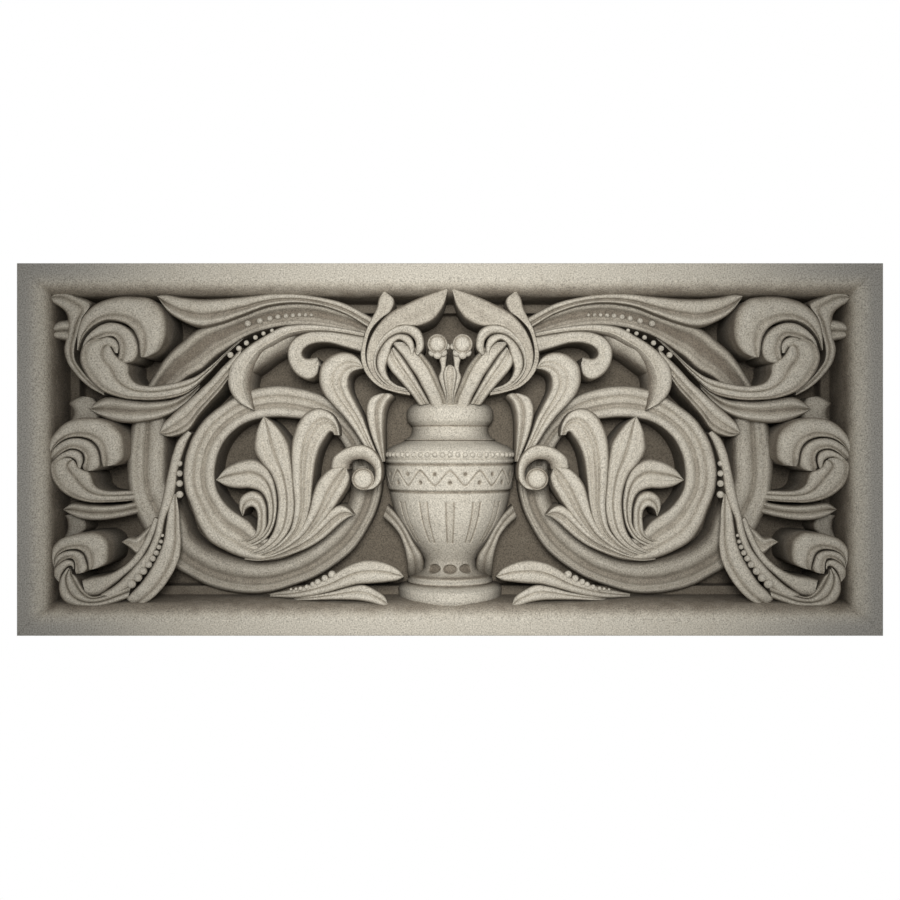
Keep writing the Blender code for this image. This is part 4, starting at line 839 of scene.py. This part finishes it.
bead = {
    "rows": 9, "turns": 14,                 # few faces, because there are over a hundred beads
    "pole": 0.12,                           # angle at which the front and the back of the ball are closed
    "shadeStart": 0.66, "shadeAngle": 2.2,    # painted shade: angle from its front where it starts, and how much further until its side is fully shaded
    "sink": 0.3,                            # share of its radius that a bead of a string lies deeper
}


def beads(centres, sides=(-1, 1)):
    # point(s, t) = centre + radius * (sin s cos t, -cos s, sin s sin t), a ball for each (across, up, depth,
    # radius)
    balls = np.array(centres, float)
    polar, around = np.meshgrid(np.linspace(bead["pole"], np.pi - bead["pole"], bead["rows"]),
                                np.linspace(0, 2 * np.pi, bead["turns"], endpoint=False), indexing="ij")
    ball = np.stack([np.sin(polar) * np.cos(around), -np.cos(polar), np.sin(polar) * np.sin(around)], axis=-1)
    # painted shade: each ball darker from its front towards its sides and back
    hollow = np.clip((polar - bead["shadeStart"]) / bead["shadeAngle"], 0, 1).reshape(-1)
    faces = tubeFaces(bead["rows"], bead["turns"])
    return [((place + ball * radius).reshape(-1, 3), faces, hollow) for side in sides
            for place, radius in zip(onPanel(side, balls[:, 0], balls[:, 1], balls[:, 2]), balls[:, 3])]


def urnBeads():
    # a ball at each step of angle round the shoulder
    ring = urn["beads"]
    turn = (np.arange(ring["count"]) - (ring["count"] - 1) / 2) * ring["turn"]
    radius = urnRadius(np.array([float(ring["height"])]))[0]
    spread = 1 + urn["axisDepth"] / panel["viewDistance"]
    depth = urn["axisDepth"] - radius * spread * np.cos(turn)
    across = radius * spread * np.sin(turn) / (1 + depth / panel["viewDistance"])
    up = ring["height"] * spread / (1 + depth / panel["viewDistance"])
    return beads(np.column_stack([across, up, depth, np.full(len(turn), ring["radius"])]), sides=(1,))


stonePiece("urn", [urnShell()] + urnBeads())

beadStrings = {
    # each a path of (across, up), the depth at its two ends, and the first and the last radius
    "inTheChannel": {
        "path": [(202, 126), (190, 128.5), (180, 131), (172, 132.5), (164, 133.5), (157, 134), (150.5, 134.5),
            (144.5, 134.5), (138.5, 134.5)],
        "depth": (27, 28), "radius": (3.5, 1.8)},
    "underTheStem": {
        "path": [(219.5, 94.5), (211, 101), (203.5, 106.5), (194.5, 112), (186.5, 116), (178, 119)],
        "depth": (15, 14), "radius": (3.2, 2)},
    "besideTheLongStem": {
        "path": [(270.5, -14), (270.5, -24), (270.5, -34), (270.3, -45)],
        "depth": (25, 23), "radius": (3.1, 3.8)},
    "inTheLowerStem": {
        "path": [(287.5, -86), (289, -92), (291, -97.5), (293.7, -103.3), (297.3, -109), (301.2, -115),
            (306.6, -121.5), (312, -128), (318.5, -134.3)],
        "depth": (14, 11), "radius": (1.7, 4.7)},
    "overTheFootLeaf": {
        "path": [(159, -140), (154, -139.5), (149.5, -139), (143, -137.5), (137, -135), (132, -132.5),
            (125, -129), (118, -125)],
        "depth": (26, 14), "radius": (1.5, 4)},
}


def beadString(string):
    # beads on a path, their depth and radius going evenly from the first to the last, sunk by a share of it
    path = np.array(string["path"], float)
    radius = np.linspace(*string["radius"], len(path))
    depth = np.linspace(*string["depth"], len(path)) + radius * bead["sink"]
    return beads(np.column_stack([path, depth, radius]))


stonePiece("beadStrings", [ball for string in beadStrings.values() for ball in beadString(string)])

smallButtons = {
    # the middle of each, and its profile from there outwards: radius and depth
    "roundBud": {
        "centre": (12.6, 105.5),
        "profile": [(0.3, 5), (3, 5.15), (5.5, 5.7), (6.9, 6.6), (7.5, 7.8), (7.9, 8.2), (8.3, 7.6), (9, 7.1),
            (9.7, 7.5), (10.1, 9), (10, 12), (8.5, 16), (7, 20), (7, 90)]},
    "smallBall": {
        "centre": (87, -29.5),
        "profile": [(0.3, 5), (4, 5.2), (7, 5.8), (8.6, 6.8), (9.2, 8.2), (9.6, 8.6), (10, 7.9), (10.6, 7.7),
            (11.2, 8.6), (11.5, 11), (11.3, 16), (11, 40), (11, 90)]},
}
buttonTurns = 40
buttonShadeDepth = 4                  # painted shade: mm behind its front, from which a button is fully shaded


def turnedButton(button, side):
    # point(t, k) = centre + radius(k) * (cos t, sin t), at depth(k): a disc turned about the line of sight
    around = np.linspace(0, 2 * np.pi, buttonTurns, endpoint=False)
    radius, depth = np.array(button["profile"], float).T
    across = button["centre"][0] + radius[:, None] * np.cos(around)
    up = button["centre"][1] + radius[:, None] * np.sin(around)
    points = onPanel(side, across, up, np.repeat(depth[:, None], buttonTurns, axis=1))
    # painted shade: a button darker the further it lies behind its front
    hollow = np.repeat(np.clip((depth - depth.min()) / buttonShadeDepth, 0, 1), buttonTurns)
    return points.reshape(-1, 3), tubeFaces(len(radius), buttonTurns), hollow


stonePiece("smallButtons", [turnedButton(button, side) for button in smallButtons.values() for side in (-1, 1)])

# across, up, depth and radius of the knobs under each round bud
calyx = [(17.5, 97, 13, 4.2), (12.5, 94.8, 11.5, 4.6), (6.8, 97, 12.5, 4.2), (3.2, 103, 14, 3.4)]
stonePiece("budCalyx", beads(calyx))

stone = {
    # painted shade with dust: a ramp from the crest and face colours to the last, darkest colour
    "crest": "#B4AEA1", "face": "#ABA496", "hollow": "#7B7265",
    "faceAt": 0.35,          # share of the colour of painted shade and dust where the stone has the face's colour
    # painted shade: darker and browner with depth behind the front plane
    "deep": "#5E564A", "deepShare": 0.85, "deepStart": 20, "deepEnd": 78,    # mm behind the front plane
    "backZone": 8, "edgeZone": 2,      # mm next to the back and the four sides that keep the plain stone
    "endShade": "#9B9891",       # painted shade: greyer and darker on the flat rim of the frame, more so to its two ends
    "endShadeWidth": 16, "endShadeFade": 9, "endShadeStart": 250, "endShadeEnd": 430,    # mm, the last two from the middle
    "grain": 1.35,           # mm, coarse sand; drawn at the size of a pixel so that it shows
    "pits": 3.51,            # mm, low places between the grains
    "blotch": 14, "blotchShare": 0.7,  # mm, uneven weathering
    "darkSpeck": 0.35, "lightSpeck": 1.67,    # times the colour below them
    "darkNoise": (0.5, 0.28), "darkShare": 0.75, "lightNoise": (0.52, 0.75), "lightShare": 0.6,
    "roughness": 0.92, "specular": 0.25,
    "grainBump": 0.35, "grainHeight": 0.0008, "pitBump": 0.5, "pitHeight": 0.0012,
}


def linear(hexColour):
    # sRGB to linear: c / 12.92 below 0.04045, else ((c + 0.055) / 1.055) ** 2.4
    parts = [int(hexColour[i:i + 2], 16) / 255 for i in (1, 3, 5)]
    return tuple(c / 12.92 if c <= 0.04045 else ((c + 0.055) / 1.055) ** 2.4 for c in parts) + (1,)


def addNode(tree, kind, settings=None, inputs=None):
    # one node with its settings, and for each input a value or the socket that feeds it
    node = tree.nodes.new(kind)
    for key, value in (settings or {}).items():
        setattr(node, key, value)
    for key, value in (inputs or {}).items():
        if isinstance(value, bpy.types.NodeSocket):
            tree.links.new(value, node.inputs[key])
        else:
            node.inputs[key].default_value = value
    return node


def carvedSandstone():
    # sandstone cut with a chisel and left unpolished: quite matt, a salt and pepper grain, pale on the crests,
    # darker and browner in the hollows and on the ground, where shade is painted into the colour with dust
    material = bpy.data.materials.new("sandstone")
    material.use_nodes = True
    tree = material.node_tree
    shader = tree.nodes["Principled BSDF"]
    place = addNode(tree, "ShaderNodeTexCoord").outputs["Object"]
    mmPerMetre = 1000
    grain, pits, blotch = (
        addNode(tree, "ShaderNodeTexNoise", {}, {"Vector": place, "Scale": mmPerMetre / stone[size],
                                                 "Detail": detail, "Roughness": rough}).outputs["Fac"]
        for size, detail, rough in (("grain", 2.0, 0.6), ("pits", 2.0, 0.55), ("blotch", 3.0, 0.6)))
    hollow = addNode(tree, "ShaderNodeAttribute", {"attribute_name": "hollow"}).outputs["Fac"]
    axes = addNode(tree, "ShaderNodeSeparateXYZ", {}, {"Vector": place}).outputs
    fromMiddle = {axis: addNode(tree, "ShaderNodeMath", {"operation": "ABSOLUTE"}, {0: axes[axis]}).outputs[0]
                  for axis in ("X", "Z")}

    # painted shade: darker and browner with depth, but not on the panel's back and four sides
    back = panel["depth"]
    deep = addNode(tree, "ShaderNodeMapRange", {"interpolation_type": "SMOOTHSTEP"},
                   {"Value": axes["Y"], "From Min": (stone["deepStart"] - back) / mmPerMetre,
                    "From Max": (stone["deepEnd"] - back) / mmPerMetre}).outputs["Result"]
    edges = ((axes["Y"], -stone["backZone"]), (fromMiddle["X"], panel["length"] / 2 - stone["edgeZone"]),
             (fromMiddle["Z"], panel["height"] / 2 - stone["edgeZone"]))
    for distance, limit in edges:
        within = addNode(tree, "ShaderNodeMath", {"operation": "LESS_THAN"},
                         {0: distance, 1: limit / mmPerMetre}).outputs[0]
        deep = addNode(tree, "ShaderNodeMath", {"operation": "MULTIPLY"}, {0: deep, 1: within}).outputs[0]
    deepShare = addNode(tree, "ShaderNodeMath", {"operation": "MULTIPLY"},
                        {0: deep, 1: stone["deepShare"]}).outputs[0]

    # painted shade on the frame's rim only, from nothing at its middle to all of it at the ends
    field = 1.0
    for axis, side in (("X", "length"), ("Z", "height")):
        edge = panel[side] / 2 - stone["endShadeWidth"]
        within = addNode(tree, "ShaderNodeMapRange", {"interpolation_type": "SMOOTHSTEP"},
                         {"Value": fromMiddle[axis], "From Min": (edge - stone["endShadeFade"]) / mmPerMetre,
                          "From Max": (edge + stone["endShadeFade"]) / mmPerMetre,
                          "To Min": 1.0, "To Max": 0.0}).outputs["Result"]
        field = addNode(tree, "ShaderNodeMath", {"operation": "MULTIPLY"}, {0: within, 1: field}).outputs[0]
    rim = addNode(tree, "ShaderNodeMath", {"operation": "SUBTRACT"}, {0: 1.0, 1: field}).outputs[0]
    atEnds = addNode(tree, "ShaderNodeMapRange", {"interpolation_type": "SMOOTHSTEP"},
                     {"Value": fromMiddle["X"], "From Min": stone["endShadeStart"] / mmPerMetre,
                      "From Max": stone["endShadeEnd"] / mmPerMetre}).outputs["Result"]
    endShade = addNode(tree, "ShaderNodeMath", {"operation": "MULTIPLY"}, {0: atEnds, 1: rim}).outputs[0]

    # crest, face and the colour of painted shade with dust, with uneven weathering
    darkerBy = addNode(tree, "ShaderNodeMath", {"operation": "MULTIPLY_ADD"},
                   {0: blotch, 1: stone["blotchShare"], 2: -stone["blotchShare"] / 2}).outputs[0]
    hollowShare = addNode(tree, "ShaderNodeMath", {"operation": "ADD", "use_clamp": True},
                          {0: hollow, 1: darkerBy}).outputs[0]
    body = addNode(tree, "ShaderNodeValToRGB", {}, {"Fac": hollowShare})
    ramp = body.color_ramp
    ramp.elements[0].position, ramp.elements[0].color = 0.0, linear(stone["crest"])
    ramp.elements[1].position, ramp.elements[1].color = 1.0, linear(stone["hollow"])
    middle = ramp.elements.new(stone["faceAt"])
    middle.color = linear(stone["face"])
    colour = body.outputs["Color"]
    for share, tint in ((deepShare, "deep"), (endShade, "endShade")):
        colour = addNode(tree, "ShaderNodeMix", {"data_type": "RGBA"},
                         {"Factor": share, 6: colour, 7: linear(stone[tint])}).outputs[2]

    # salt and pepper: single grains, darker or lighter than the colour below them
    for speck in ("dark", "light"):
        low, high = stone[speck + "Noise"]
        share = addNode(tree, "ShaderNodeMapRange", {}, {"Value": grain, "From Min": low, "From Max": high,
                                                         "To Max": stone[speck + "Share"]}).outputs["Result"]
        times = (stone[speck + "Speck"],) * 3 + (1,)
        colour = addNode(tree, "ShaderNodeMix", {"data_type": "RGBA", "blend_type": "MULTIPLY"},
                         {"Factor": share, 6: colour, 7: times}).outputs[2]
    tree.links.new(colour, shader.inputs["Base Color"])
    shader.inputs["Roughness"].default_value = stone["roughness"]
    shader.inputs["Specular IOR Level"].default_value = stone["specular"]
    pitted = addNode(tree, "ShaderNodeBump", {}, {"Height": pits, "Strength": stone["pitBump"],
                                                  "Distance": stone["pitHeight"]}).outputs["Normal"]
    sandy = addNode(tree, "ShaderNodeBump", {}, {"Height": grain, "Strength": stone["grainBump"],
                                                 "Distance": stone["grainHeight"], "Normal": pitted})
    tree.links.new(sandy.outputs["Normal"], shader.inputs["Normal"])
    return material


sandstone = carvedSandstone()
for piece in stonePieces:
    piece.data.materials.append(sandstone)
print("sandstone on", len(stonePieces), "pieces")

studio = {
    "eye": (0, -1.25, -0.0005), "lens": 46, "sensor": 36,     # level and square to the panel
    "key": {"place": (0, -1.4, 0.2), "radius": 0.2, "cone": 38, "watts": 85},
    "behind": 1.0, "before": 0.46,            # how bright the room is behind the panel, and in front of it
    "horizon": (0.2, 0.8),                    # Y of the direction between which it goes from one to the other
    "floor": {"drop": 1.25, "reach": 3, "behind": 1, "paint": "#E6E4E0", "roughness": 0.8},
}


def makeStudio():
    # one camera, one soft round lamp aimed at the panel, an even room that is white behind it, a pale floor
    scene = bpy.context.scene
    scene.view_settings.view_transform = "Standard"
    camera = bpy.data.objects.new("camera", bpy.data.cameras.new("camera"))
    camera.location = studio["eye"]
    camera.rotation_euler = (math.pi / 2, 0, 0)
    camera.data.sensor_width = studio["sensor"]
    camera.data.lens = studio["lens"]
    scene.collection.objects.link(camera)
    scene.camera = camera

    key = studio["key"]
    lamp = bpy.data.lights.new("key", "SPOT")
    lamp.shadow_soft_size = key["radius"]
    lamp.energy = key["watts"]
    lamp.spot_size = math.radians(key["cone"])
    lamp.spot_blend = 1
    light = bpy.data.objects.new("key", lamp)
    light.location = key["place"]
    light.rotation_euler = (math.atan2(-light.location.y, light.location.z), 0, 0)    # aimed at the middle
    scene.collection.objects.link(light)

    world = bpy.data.worlds.new("room")
    world.use_nodes = True
    tree = world.node_tree
    direction = addNode(tree, "ShaderNodeTexCoord").outputs["Generated"]
    away = addNode(tree, "ShaderNodeSeparateXYZ", {}, {"Vector": direction}).outputs["Y"]
    low, high = studio["horizon"]
    level = addNode(tree, "ShaderNodeMapRange", {"interpolation_type": "SMOOTHSTEP"},
                    {"Value": away, "From Min": low, "From Max": high,
                     "To Min": studio["before"], "To Max": studio["behind"]}).outputs["Result"]
    background = tree.nodes["Background"]
    background.inputs["Color"].default_value = (1, 1, 1, 1)
    tree.links.new(level, background.inputs["Strength"])
    scene.world = world

    ground = studio["floor"]
    reach, behind, drop = ground["reach"], ground["behind"], -ground["drop"]
    mesh = bpy.data.meshes.new("floor")
    corners = [(-reach, -reach, drop), (reach, -reach, drop), (reach, behind, drop), (-reach, behind, drop)]
    mesh.from_pydata(corners, [], [(0, 1, 2, 3)])
    floor = bpy.data.objects.new("floor", mesh)
    scene.collection.objects.link(floor)
    paint = bpy.data.materials.new("paleFloorPaint")
    paint.use_nodes = True
    shader = paint.node_tree.nodes["Principled BSDF"]
    shader.inputs["Base Color"].default_value = linear(ground["paint"])
    shader.inputs["Roughness"].default_value = ground["roughness"]
    mesh.materials.append(paint)


makeStudio()
print("studio ready")
